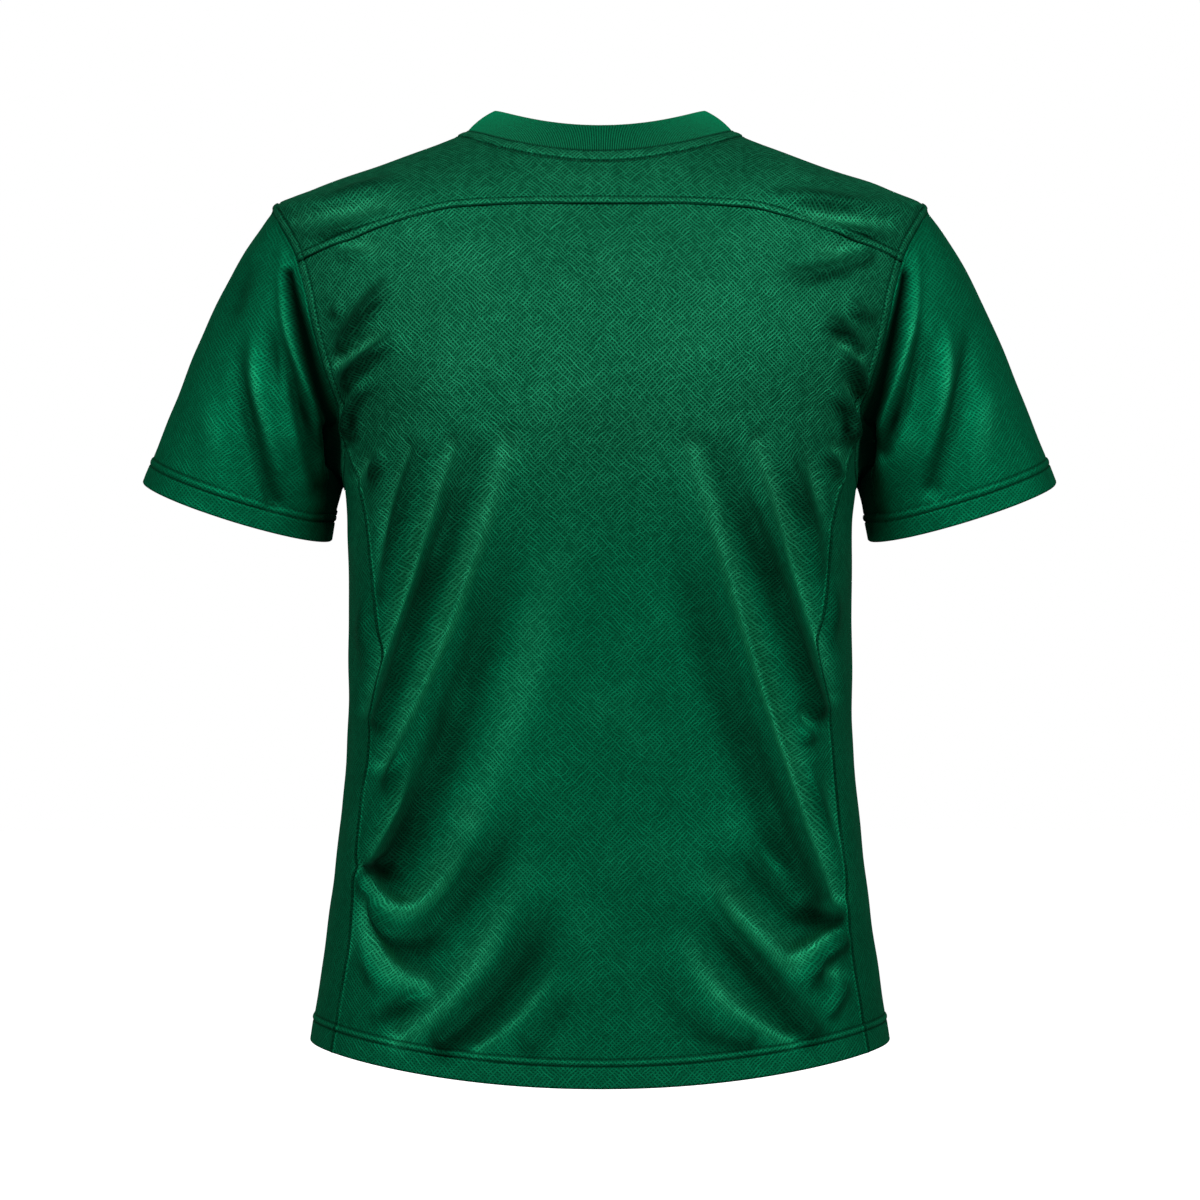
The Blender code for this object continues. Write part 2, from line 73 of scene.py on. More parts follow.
bodyRings = table(
    "level halfWidth backDepth frontDepth backHeight frontHeight squareness",
    (-0.674, 0.2168, 0.1230, 0.1250, -0.698, -0.692, 2.30),
    (-0.600, 0.2055, 0.1200, 0.1230, -0.615, -0.612, 2.30),
    (-0.520, 0.1955, 0.1180, 0.1220, -0.526, -0.525, 2.30),
    (-0.430, 0.1885, 0.1175, 0.1220, -0.431, -0.432, 2.35),
    (-0.345, 0.1883, 0.1200, 0.1230, -0.345, -0.347, 2.40),
    (-0.290, 0.1888, 0.1240, 0.1240, -0.290, -0.294, 2.40),
    (-0.258, 0.1920, 0.1265, 0.1240, -0.258, -0.264, 2.40),
    (-0.212, 0.1990, 0.1280, 0.1225, -0.212, -0.226, 2.40),
    (-0.175, 0.2194, 0.1260, 0.1200, -0.175, -0.200, 2.40),
    (-0.127, 0.2341, 0.1180, 0.1150, -0.127, -0.172, 2.40),
    (-0.093, 0.2390, 0.1070, 0.1090, -0.094, -0.152, 2.35),
    (-0.0525, 0.2440, 0.0900, 0.1000, -0.0560, -0.130, 2.25),
    (-0.0375, 0.2142, 0.0850, 0.0950, -0.0450, -0.120, 2.20),
    (-0.0200, 0.1655, 0.0790, 0.0880, -0.0340, -0.108, 2.15),
    (-0.0050, 0.1245, 0.0730, 0.0810, -0.0240, -0.098, 2.10),
    (0.0050, 0.0994, 0.0670, 0.0750, -0.0160, -0.088, 2.00),
)

# where the panels end, as angles round the body from the centre back and from the centre front
armholeSeam = table(
    "level back front",
    (-0.2580, 90.0, 90.0),
    (-0.2450, 81.0, 80.0),
    (-0.2190, 75.0, 73.0),
    (-0.1750, 67.0, 63.5),
    (-0.1270, 66.0, 62.0),
    (-0.0930, 69.0, 65.5),
    (-0.0620, 79.0, 77.0),
    (-0.0525, 90.0, 90.0),
)
sideSeam = table(
    "level back front",
    (-0.674, 65.5, 63.0),
    (-0.600, 64.5, 62.5),
    (-0.540, 66.0, 62.0),
    (-0.440, 63.5, 61.0),
    (-0.380, 60.0, 60.0),
    (-0.320, 63.0, 61.5),
    (-0.270, 66.5, 65.0),
    (-0.219, 75.0, 73.0),
)
yokeSeam = table(
    "share level",
    (0.00, -0.0520),
    (0.15, -0.0525),
    (0.29, -0.0552),
    (0.42, -0.0622),
    (0.56, -0.0715),
    (0.76, -0.0835),
    (1.00, levels["yokeEnd"]),
)


def smooth(place, stations, values):
    # cubic pieces through the values, with slopes by the harmonic mean, so the curve never swings past them
    place = np.clip(place, stations[0], stations[-1])
    span = np.diff(stations)
    slope = np.diff(values) / span
    before, after = slope[:-1], slope[1:]
    steady = before * after > 0
    middle = np.zeros(len(before))
    middle[steady] = 2 * before[steady] * after[steady] / (before[steady] + after[steady])
    tangent = np.concatenate(([slope[0]], middle, [slope[-1]]))
    part = np.clip(np.searchsorted(stations, place, side="right") - 1, 0, len(span) - 1)
    t = (place - stations[part]) / span[part]
    return (
        values[part] * (1 + 2 * t) * (1 - t) ** 2
        + tangent[part] * span[part] * t * (1 - t) ** 2
        + values[part + 1] * t * t * (3 - 2 * t)
        + tangent[part + 1] * span[part] * t * t * (t - 1)
    )


def column(name, place, rows, by="level"):
    return smooth(place, rows[by], rows[name])


def unit(vectors):
    return vectors / np.maximum(np.linalg.norm(vectors, axis=-1, keepdims=True), 1e-12)


def ramp(t):
    # 0 below 0, 1 above 1 and an S curve, 3t^2 - 2t^3, between
    t = np.clip(t, 0, 1)
    return t * t * (3 - 2 * t)


def ringPoint(angle, level):
    # x = half width * sin a, y = +-depth * (1 - |sin a|^n)^(1/n), z = level + drop * cos^2 a
    turn = np.radians(angle)
    across = np.sin(turn)
    behind = np.cos(turn) >= 0
    ring = {name: column(name, level, bodyRings) for name in bodyRings if name != "level"}
    power = ring["squareness"]
    rounding = np.clip(1 - np.abs(across) ** power, 0, 1) ** (1 / power)
    depth = np.where(behind, ring["backDepth"], -ring["frontDepth"])
    drop = np.where(behind, ring["backHeight"], ring["frontHeight"]) - level
    return np.stack((ring["halfWidth"] * across, depth * rounding, level + drop * np.cos(turn) ** 2), axis=-1)


def ringNormal(angle, level):
    # across two short steps, one round the ring and one up to the next
    stepAngle, stepLevel = 0.6, 0.0015
    level = np.clip(level, levels["hem"] + stepLevel, levels["neck"] - stepLevel)
    aside = ringPoint(angle + stepAngle, level) - ringPoint(angle - stepAngle, level)
    upward = ringPoint(angle, level + stepLevel) - ringPoint(angle, level - stepLevel)
    return unit(np.cross(aside, upward))


search = {"skip": 6, "batch": 2_000_000}  # the rough pass takes each sixth point; pairs measured at a time


def nearest(points, line, reach):
    # distance to a polyline, and the share of its length where that is; beyond reach it is only roughly known
    flat = points.reshape(-1, points.shape[-1])
    rough = np.min(np.linalg.norm(flat[:, None] - line[None, :: search["skip"]], axis=-1), axis=1)
    steps = np.linalg.norm(np.diff(line, axis=0), axis=1)
    run = np.concatenate(([0], np.cumsum(steps)))
    share = np.zeros(len(flat))
    close = np.flatnonzero(rough < reach + search["skip"] * steps.max())
    for some in np.array_split(close, max(1, len(close) * len(steps) // search["batch"])):
        away = flat[some, None] - line[None, :-1]
        leg = np.diff(line, axis=0)[None]
        t = np.clip((away * leg).sum(-1) / np.maximum((leg * leg).sum(-1), 1e-14), 0, 1)
        gap = np.linalg.norm(away - t[..., None] * leg, axis=-1)
        best = gap.argmin(axis=1)
        row = np.arange(len(some))
        rough[some] = gap[row, best]
        share[some] = (run[best] + t[row, best] * steps[best]) / run[-1]
    return rough.reshape(points.shape[:-1]), share.reshape(points.shape[:-1])


foldSize = {
    "points": 17,  # along each fold
    "reach": 2.6,  # how many widths off a fold is still felt
    "sideFade": 0.04,  # the body's folds end over this depth at its sides
    "sleeveFade": 0.30,  # and the sleeve's over this sine of the turn from its top and under side
    "sleeveStart": 0.0035,  # along the sleeve from the armhole seam
}


def foldHeight(points, folds):
    # every fold is a soft bar exp(-(gap / width)^2) along a bent line through its three places
    flat = points[..., [0, 2]]
    total = np.zeros(flat.shape[:-1])
    t = np.linspace(0, 1, foldSize["points"])[:, None]
    for x0, z0, x1, z1, x2, z2, width0, width2, depth0, depth1, depth2 in zip(*folds.values()):
        ends = np.array(((x0, z0), (x1, z1), (x2, z2)))
        line = ends[0] * (2 * t - 1) * (t - 1) + ends[1] * 4 * t * (1 - t) + ends[2] * t * (2 * t - 1)
        gap, share = nearest(flat, line, foldSize["reach"] * max(width0, width2))
        width = width0 + (width2 - width0) * share
        first = depth0 + (depth1 - depth0) * ramp(2 * share)
        depth = first + (depth2 - depth1) * ramp(2 * share - 1)
        total += depth * np.exp(-((gap / width) ** 2))
    return total


foldColumns = "x0 z0 x1 z1 x2 z2 width0 width2 depth0 depth1 depth2"
millimetre = 0.001


def foldTable(*rows):
    # a row for each fold, in millimetres: three places along it, its width at both ends and its three depths
    return table(foldColumns, *(np.array(rows) * millimetre))


def shadeTable(*rows):
    # the same, but with how dark the painted shade is, in parts of one, for the depths
    return table(foldColumns, *(np.array(rows) * ([millimetre] * 8 + [1] * 3)))


backFolds = foldTable(
    # left of the back: ridges and troughs by turns, from the shoulder blade down to the side seam
    (138.8, -235, 155, -276, 163.7, -330, 3.6, 3.6, 3, 4, 1),
    (128, -230, 145, -281, 159, -338, 7, 4.6, -2.8, -6.5, -2),
    (108, -232, 144, -332, 175, -425, 5.2, 4.5, 3.9, 9.7, 3.3),
    (87, -230, 122, -327, 161, -433, 9, 6, -2.8, -10, -6),
    (69, -232, 110, -353, 162, -465, 8.6, 5.6, 3.9, 11.7, 5.2),
    (146, -452, 153, -472, 160, -490, 4.6, 4.2, 0, -5, 0),
    (133, -452, 154, -500, 177.5, -541, 5.2, 3.6, 0, 6.5, 4),
    (60, -265, 98, -412, 150, -537, 14, 11, -0.5, -7, -11),
    (30, -290, 55, -400, 95, -502, 17, 12, 0, 3.5, 2),
    # the swags that hang from the pinch in the left side seam
    (172, -540.5, 160, -540, 140, -534, 3.6, 8, -6, -9, 0),
    (98, -507, 138, -566, 172, -547, 11.9, 5.4, 2.6, 11.7, 5.2),
    (50, -475, 85, -537, 128, -592, 12, 10, 0, -5.5, -4),
    (120, -588, 154, -588, 176, -551, 9, 4, -2, -8, -3),
    (174, -566, 162, -604, 130, -622, 5, 8.6, 3.9, 11.1, 6.5),
    (58, -540, 95, -612, 147, -662, 12, 8, 1, 6, 6),
    (162, -648, 148, -641, 124, -628, 5.6, 4.6, -2, -5.5, 0),
    (177, -600, 169, -618, 160, -633, 4, 4, 0, -3, 0),
    (35, -537, 58, -604, 112, -664, 14, 9, 0, -7, -8),
    (28, -600, 52, -638, 88, -668, 6, 5, 0, 4, 4),
    (18, -615, 34, -642, 50, -664, 9, 9, 0, -3, -3),
    # right of the back
    (-149, -228, -158, -258, -166.5, -292, 4.2, 4, 1, 4.5, 1),
    (-126, -224, -147, -272, -161, -322, 8, 5, 0, -7.5, -2),
    (-114, -230, -146, -320, -173, -416, 5.2, 4.9, 3.9, 9.1, 3.9),
    (-83, -228, -124, -328, -158, -424, 10, 7, -2.8, -10, -9),
    (-145, -418, -151, -431, -157, -440, 3.6, 3.6, 0, 5, 0),
    (-146, -440, -152, -445, -159, -444, 4, 4, 0, -5, -1),
    (-68, -234, -119, -394, -176, -564, 7.6, 5, 3.9, 12.3, 5.9),
    (-48, -245, -95, -420, -150, -560, 14, 12, 0, -6, -8),
    (-174, -578, -160, -577, -132, -566, 4, 8, -7, -9, 0),
    (-95, -505, -112, -537, -138, -568, 7, 8, 0, -4.5, -4),
    (-110, -515, -127, -536, -142, -554, 6, 6, 0, 3.5, 0),
    (-76, -528, -102, -570, -142, -605, 9.7, 9.7, 0, 9.7, 6.5),
    (-136, -604, -155, -599, -173, -586, 8.6, 5, 2.6, 8.8, 4),
    (-70, -545, -103, -600, -152, -658, 10, 9, 0, -8.5, -6),
    (-56, -570, -86, -626, -138, -663, 10, 6, 0, 6.5, 5.5),
    (-40, -585, -62, -640, -105, -663, 13, 8, 0, -3.5, -4),
    (-177, -597, -161, -610, -154, -632, 5, 6, -7, -6.5, 0),
    (-166, -611, -171, -616, -177, -618, 6, 6, 3, 5, 2),
    (-179, -630, -172, -642, -164, -653, 4, 4, -4, -5, 0),
    # drawn in from the left armhole, and the hollow below it
    (146, -109, 170, -133, 188, -157, 6, 5, 0, -8.1, -6.8),
    (148, -148, 170, -158, 193, -170, 6, 4.6, 0, 5.4, 5.4),
    (140, -153, 164, -164, 184, -184, 5.6, 5, 0, -8.8, -9.5),
    (158, -180, 174, -188, 187, -201, 4.6, 3.6, 0, 4.7, 4.1),
    (154, -187, 177, -193, 182, -220, 5, 5, 0, -8.1, -10.8),
    (196, -127, 193, -133, 190, -139, 4.2, 4.2, 0, -5.4, 0),
    (198, -91, 182, -93, 164, -96, 4, 4, 0, -3.4, 0),
    (198, -83, 180, -84, 150, -88, 6, 8, 0, 3.4, 0),
    (158, -234, 163, -248, 167, -262, 4.6, 4.2, 0, -8.1, -1.4),
    (167, -234, 173, -243, 179, -256, 3.6, 3.6, 0, 4.7, 2.7),
    # drawn in from the right armhole, and the hollow below it
    (-118, -111, -161, -106, -196, -93, 6, 4.6, 0, -6.1, -3.4),
    (-150, -90, -175, -88, -195, -82, 6, 6, 0, 4.1, 0),
    (-180, -123, -186, -133, -198, -137, 4, 4, 0, -6.1, -4.1),
    (-156, -142, -174, -146, -188, -158, 5, 4.6, 0, -8.1, -4.1),
    (-164, -152, -179, -158, -190, -167, 4.2, 4, 0, 4.7, 4.1),
    (-170, -168, -184, -173, -191, -187, 5, 4.6, 0, -8.1, -6.8),
    (-176, -182, -183, -190, -188, -201, 4, 3.6, 0, 4.1, 2.7),
    (-162, -197, -179, -201, -183, -222, 5, 5, 0, -8.1, -10.8),
    (-164, -232, -169, -242, -176, -254, 4.2, 4, 0, -6.8, -2.7),
    (-168, -226, -173, -234, -179, -242, 3.4, 3.4, 0, 4.7, 1.4),
    # across the ends of the yoke
    (227, -63.5, 193, -59, 137, -48, 5, 8, 2, 4, 0),
    (218, -74, 193, -74, 164, -66, 4, 4, -1, -4, 0),
    (210, -51, 170, -41, 137, -34, 6, 6, -1, -4.8, 0),
    (-211, -66, -172, -63.5, -127, -55, 5, 8, 2, 4, 0),
    (-214, -76.5, -190, -75.5, -162, -72, 4, 4, -1, -4, 0),
    (-217, -56, -172, -52, -110, -46, 6, 6, -1, -5, 0),
    # thin slanting streaks on the side panels
    (170, -545, 176, -575, 184, -606, 4, 4.6, 0, 3, 1),
    (172, -330, 174.5, -362, 174, -400, 4.6, 4.6, 0, -4, 0),
    (-163, -455, -170, -490, -180, -535, 3.6, 3.6, 0, 3, 1),
    (-148, -462, -160, -490, -172, -520, 3.6, 3.6, 0, -3.5, 0),
    (-170, -325, -172.5, -350, -171, -385, 4.6, 4.6, 0, -4, 0),
)
frontFolds = foldTable(
    (118, -250, 138, -340, 160, -430, 11, 8, 0, -11.2, -5.6),
    (96, -252, 116, -370, 156, -480, 12, 10, 0, 8.4, 5.6),
    (60, -330, 82, -450, 126, -560, 16, 14, 0, 5.6, 4.2),
    (166, -556, 120, -530, 72, -450, 7, 17, -9.8, -7, 0),
    (168, -570, 134, -590, 70, -510, 6, 15, 4.2, 8.4, 0),
    (168, -610, 124, -632, 32, -520, 7, 17, -4.2, -8.4, 0),
    (150, -664, 108, -640, 60, -580, 9, 11, 4.2, 5.6, 0),
    (-120, -246, -136, -330, -156, -410, 11, 8, 0, -11.2, -5.6),
    (-92, -250, -118, -380, -152, -470, 13, 11, 0, 8.4, 5.6),
    (-50, -340, -80, -460, -118, -570, 17, 15, 0, 5.6, 0),
    (-168, -560, -134, -530, -100, -460, 7, 15, -9.8, -7, 0),
    (-166, -584, -130, -590, -76, -520, 7, 14, 4.2, 7, 0),
    (-158, -640, -112, -620, -40, -530, 9, 17, -5.6, -8.4, 0),
    (-90, -670, -52, -630, -4, -570, 12, 16, 0, 4.2, 0),
    (188, -170, 166, -150, 136, -138, 6, 10, -7, -5.6, -1.4),
    (186, -200, 170, -190, 146, -184, 6, 9, -7, -5.6, -1.4),
    (-188, -164, -168, -148, -140, -134, 6, 10, -7, -5.6, -1.4),
    (-188, -204, -172, -196, -150, -188, 6, 9, -7, -4.2, -1.4),
    (0, -160, 6, -200, -4, -250, 30, 30, 0, -1.4, 0),
)


# painted shade: where cloth folds in so deep that hardly any light gets there, and where the back turns from
# the light
bodyShade = shadeTable(
    (148.3, -113.1, 178.8, -138.5, 191.6, -148.7, 6, 4.5, 0, 0.25, 0.5),
    (158.5, -161.4, 176.3, -171.6, 188, -181, 4.5, 5, 0, 0.5, 0.95),
    (163.6, -192, 178, -203, 182, -218, 4, 5, 0, 0.5, 1),
    (168, -238, 164, -248, 162, -258, 6, 6, 0, 0.45, 0),
    (-156, -142, -174, -146, -188, -158, 4.5, 4.5, 0, 0.4, 0.3),
    (-170, -168, -184, -173, -191, -187, 4.5, 5, 0, 0.5, 0.8),
    (-168, -197, -177.6, -206, -181, -222, 4, 5, 0, 0.6, 1),
    (-164, -232, -169, -242, -174, -252, 5, 5, 0, 0.4, 0),
    (172, -540.5, 160, -540, 145, -536, 5, 8, 0.7, 0.5, 0),
    (-174, -578, -162, -577, -145, -570, 5, 7, 0.6, 0.5, 0),
    (0, -100, 0, -400, 0, -660, 100, 140, 0.12, 0.2, 0.2),
)
# painted shade on each sleeve beside the armhole and under the arm
sleeveShade = {
    "left": shadeTable(
        (231.2, -103, 216.5, -160, 192.5, -229, 3.2, 10, 1, 1.1, 1.2),
        (190, -230, 190, -260, 201, -302, 12, 11, 1.2, 1.2, 1.2),
        (226, -184, 218.5, -206, 208, -233, 3, 5, 0.3, 0.85, 0.4),
    ),
    "right": shadeTable(
        (226.5, -104.5, 213, -162, 191, -229, 3, 10, 1, 1.1, 1.2),
        (189, -230, 189, -260, 200, -295, 12, 10, 1.2, 1.2, 1.1),
        (224.6, -193, 217, -212, 209, -233, 3.6, 5, 0.3, 0.9, 0.4),
    ),
}


def onBack(points):
    # 1 behind and 0 ahead, with a fade at the sides
    return np.clip(points[..., 1] / foldSize["sideFade"], 0, 1)


def bodyFolds(angle, level):
    # how far the folds of the side that it is on move each place of the smooth ring out
    points = ringPoint(angle, level)
    return onBack(points) * foldHeight(points, backFolds) + onBack(-points) * foldHeight(points, frontFolds)


def bodyPoint(angle, level):
    angle, level = np.broadcast_arrays(np.asarray(angle, float), np.asarray(level, float))
    return ringPoint(angle, level) + ringNormal(angle, level) * bodyFolds(angle, level)[..., None]


def bodyForm(angle, level, origin):
    # the points of a panel, with the smooth normals, the folds' height, the painted shade and the knit's own
    # sizes there
    angle, level = np.broadcast_arrays(np.asarray(angle, float), np.asarray(level, float))
    normals, folds = ringNormal(angle, level), bodyFolds(angle, level)
    points = ringPoint(angle, level) + normals * folds[..., None]
    paintedShades = onBack(points) * foldHeight(points, bodyShade)
    uv = clothMap(angle, level, origin)
    return {"points": points, "normals": normals, "folds": folds, "paintedShades": paintedShades, "uv": uv}


def armholeAngle(level, behind=True):
    return column("back" if behind else "front", level, armholeSeam)


def seamAngle(level, behind=True):
    return column("back" if behind else "front", level, sideSeam)


shoulderLean = 6.0  # degrees in front of the ridge at the neck


def shoulderAngle(level):
    # from the ridge at the tip to the seam's lean at the neck, by a quarter sine
    share = np.clip((level - levels["tip"]) / (levels["neck"] - levels["tip"]), 0, 1)
    return 90 + shoulderLean * np.sin(share * math.pi / 2)


def edgeAngle(level, behind):
    shoulder = shoulderAngle(level) if behind else 180 - shoulderAngle(level)
    above = np.where(level < levels["tip"], armholeAngle(level, behind), shoulder)
    return np.where(level < levels["panelTop"], seamAngle(level, behind), above)


def yokeLevel(share):
    return column("level", share, yokeSeam, by="share")


def underarmLevel(share, behind):
    # where a side panel's column meets the armhole; share is 0 on its seam and 1 under the arm
    level = np.linspace(levels["underarm"], levels["panelTop"], 200)
    seam = seamAngle(level, behind)
    place = (armholeAngle(level, behind) - seam) / (90 - seam)
    return np.interp(share, place[::-1], level[::-1])


def armholeLoop(side, levelsUp):
    # from the shoulder tip down behind, under the arm and up in front
    loop = []
    for behind in (True, False):
        angle = armholeAngle(levelsUp[::-1], behind)
        points = bodyPoint(side * (angle if behind else 180 - angle), levelsUp[::-1])
        loop.append(points if behind else points[::-1][1:-1])
    return np.concatenate(loop)


def armholeLevels(count):
    # closer together at both ends, where the armhole turns over: level by half a cosine
    part = (1 - np.cos(np.linspace(0, math.pi, count))) / 2
    return levels["underarm"] + (levels["tip"] - levels["underarm"]) * part


def closed(line):
    return np.concatenate((line, line[:1]))


seamPoints = {"side": 260, "shoulder": 120, "yoke": 321, "ring": 360, "armhole": 150}


def seamLines():
    # each seam as a line of points on the folded cloth
    down = np.linspace(levels["hem"], levels["panelTop"], seamPoints["side"])
    ridge = np.linspace(levels["tip"], levels["neck"], seamPoints["shoulder"])
    across = np.linspace(-1, 1, seamPoints["yoke"])
    around = np.linspace(180, -180, seamPoints["ring"] + 1)[:-1]
    lines = {}
    yoke = yokeLevel(np.abs(across))
    lines["yoke"] = bodyPoint(-across * edgeAngle(yoke, True), yoke)
    for name in ("hem", "neck"):
        lines[name] = closed(bodyPoint(around, levels[name]))
    for name, side in sides.items():
        lines[f"armhole_{name}"] = closed(armholeLoop(side, armholeLevels(seamPoints["armhole"])))
        lines[f"shoulder_{name}"] = bodyPoint(side * shoulderAngle(ridge), ridge)
        lines[f"side_back_{name}"] = bodyPoint(side * seamAngle(down, True), down)
        lines[f"side_front_{name}"] = bodyPoint(side * (180 - seamAngle(down, False)), down)
    return lines


sides = {"left": 1, "right": -1}
seams = seamLines()
print("seams laid out:", len(seams))


# how far each place stands out of its panel, by its distance from the seams
relief = {
    "tuck": {"width": 0.0012, "depth": 0.0014, "reach": 0.999},
    "hem": {"lower": 0.0160, "upper": 0.0212, "roll": 0.0007},
    "cuff": {"lower": 0.0150, "upper": 0.0210, "roll": 0.0006},
    "turnUp": {
        "step": 0.0004,
        "ease": 0.0010,
        "groove": 0.0009,
        "width": 0.0006,
        "drop": 0.0008,
        "edge": 0.0012,
    },
    "band": {"crown": 0.35, "grooveWidth": 0.0007},
    "yoke": {"width": 0.0056, "height": 0.0010, "groove": 0.0012},
    "armhole": {"width": 0.0060, "height": 0.0008, "groove": 0.0012},
    "neck": {"width": 0.0085, "height": 0.0014, "groove": 0.0011},
    "welt": {"place": 0.0016, "width": 0.0009, "height": 0.0006},
    "sideWelt": {"place": 0.0014, "width": 0.0008, "height": 0.00024},
    "sleeveWelt": {"place": 0.0022, "width": 0.0012, "height": 0.0006},
    "shoulder": {"width": 0.0050, "height": 0.0006, "groove": 0.0007},
}


def tuck(gap):
    # a quarter-round turn inwards over the last millimetre before a seam
    size = relief["tuck"]
    inside = np.clip(1 - gap / size["width"], 0, 1)
    return -size["depth"] * (1 - np.sqrt(1 - size["reach"] * inside**2))


def bar(gap, place, width):
    # a soft ridge across the gap: exp(-((gap - place) / width)^2)
    return np.exp(-(((gap - place) / width) ** 2))


def welt(gap, kind):
    size = relief[kind]
    return size["height"] * bar(gap, size["place"], size["width"])


def band(gap, width, height, groove):
    # a raised band beside a seam: crowned between the seam and its topstitched groove
    across = np.clip(gap / width, 0, 1)
    crown = np.where(gap < width, (4 * across * (1 - across)) ** relief["band"]["crown"], 0)
    return height * crown - groove * bar(gap, width, relief["band"]["grooveWidth"])


def turnUp(gap, lower, upper, roll):
    # the doubled cloth stands out up to the upper stitch line, with a roll between the two lines
    size = relief["turnUp"]
    doubled = size["step"] * (1 - ramp((gap - upper) / size["ease"]))
    between = roll * bar(gap, (lower + upper) / 2, (upper - lower) / 3)
    edge = -size["drop"] * np.clip(1 - gap / size["edge"], 0, 1) ** 2
    grooves = size["groove"] * (bar(gap, lower, size["width"]) + bar(gap, upper, size["width"]))
    return doubled + between + edge - grooves


seamReach = 0.03  # how far from a seam its distance is measured with care


def gaps(points, *names):
    return {name: nearest(points, seams[name], seamReach)[0] for name in names}


def shareAlong(points, name):
    return nearest(points, seams[name], seamReach)[1]


ripple = {
    "waves": 16,
    "shortest": 0.028,
    "longest": 0.075,
    "height": {"back": 0.0004, "shoulders": 0.0003, "side": 0.0004, "sleeve": 0.0004},
    "seed": {"back": 3, "shoulders": 5, "side": 7, "sleeve": 11},
}


def undulation(points, kind):
    # the sum of some slow waves that cross at odd angles, of a few centimetres each
    chance = np.random.default_rng(ripple["seed"][kind])
    total = np.zeros(points.shape[:-1])
    for _ in range(ripple["waves"]):
        way = unit(chance.normal(size=3))
        wavelength = chance.uniform(ripple["shortest"], ripple["longest"])
        total += np.sin(2 * math.pi * (points @ way) / wavelength + chance.uniform(0, 2 * math.pi))
    return ripple["height"][kind] * total / math.sqrt(ripple["waves"])


ladderSize = {"samples": 6000, "growth": 0.014}  # steps grow from fine to coarse over this distance


def ladder(length, coarse, spots):
    # places from 0 to length: short steps near each spot, growing to the coarse step away from it
    place = np.linspace(0, length, ladderSize["samples"])
    step = np.full(len(place), coarse)
    for middle, reach, fine in spots:
        away = np.maximum(np.abs(place - middle) - reach, 0)
        step = np.minimum(step, fine + (coarse - fine) * ramp(away / ladderSize["growth"]))
    count = np.concatenate(([0], np.cumsum(np.diff(place) * 2 / (step[1:] + step[:-1]))))
    return np.interp(np.linspace(0, count[-1], math.ceil(count[-1]) + 1), count, place)


def gridNormals(grid, around=False):
    # along the columns crossed with along the rows
    upward = np.gradient(grid, axis=0)
    aside = np.gradient(grid, axis=1)
    if around:
        aside = (np.roll(grid, -1, axis=1) - np.roll(grid, 1, axis=1)) / 2
    return unit(np.cross(aside, upward))


def runLength(grid, axis):
    # length along the rows or columns, from the first point on
    step = np.linalg.norm(np.diff(grid, axis=axis), axis=-1)
    start = np.zeros_like(np.take(step, [0], axis=axis))
    return np.cumsum(np.concatenate((start, step), axis=axis), axis=axis)


measuredRings = 161


def measureBody():
    # lengths on the smooth form below the shoulder tips, for each degree from the centre back to the centre
    # front: round each ring, and up from the hem
    rings = np.linspace(levels["hem"], levels["tip"], measuredRings)
    points = ringPoint(np.arange(181)[None, :], rings[:, None])
    return np.stack((runLength(points, 1), runLength(points, 0) + points[:1, :, 2]), axis=-1)


def bodyLength(angle, level):
    # those lengths between the rings and angles measured, kept just short of the last of each
    row = (level - levels["hem"]) / (levels["tip"] - levels["hem"]) * (len(bodyLengths) - 1)
    row = np.clip(row, 0, len(bodyLengths) - 1.001)
    angle = np.clip(angle, 0, 179.999)
    low, left = row.astype(int), angle.astype(int)
    up, right = (row - low)[..., None], (angle - left)[..., None]
    below = bodyLengths[low, left] * (1 - right) + bodyLengths[low, left + 1] * right
    above = bodyLengths[low + 1, left] * (1 - right) + bodyLengths[low + 1, left + 1] * right
    return below * (1 - up) + above * up


def clothMap(angle, level, origin):
    # the knit's own sizes: u round the body from the origin angle and v up it, and over the shoulders v goes
    # on from the tips' ring in planes of equal x
    turn = np.abs((angle + 180) % 360 - 180)
    points = ringPoint(angle, level)
    over = level > levels["tip"]
    tipTurn = np.degrees(np.arcsin(np.clip(np.abs(points[..., 0]) / ringPoint(90, levels["tip"])[0], 0, 1)))
    tipTurn = np.where(points[..., 1] < 0, 180 - tipTurn, tipTurn)
    turn = np.where(over, tipTurn, turn)
    rings = np.minimum(level, levels["tip"])
    lengths = bodyLength(turn, rings)
    across = lengths[..., 0] - bodyLength(np.full_like(turn, origin), rings)[..., 0]
    climb = np.linalg.norm((points - ringPoint(tipTurn, levels["tip"]))[..., 1:], axis=-1)
    side = np.where(np.sin(np.radians(angle)) < 0, -1, 1)
    return np.stack((side * across, lengths[..., 1] + np.where(over, climb, 0)), axis=-1)


def cutOf(grid, width, length, allowance):
    # the flat piece: its width, length and area, the last two with what is turned up along its lowest row
    corner = np.cross(np.diff(grid, axis=1)[:-1], np.diff(grid, axis=0)[:, :-1])
    area = np.linalg.norm(corner, axis=-1).sum()
    return width, length + allowance, area + allowance * runLength(grid[:1], 1)[0, -1]


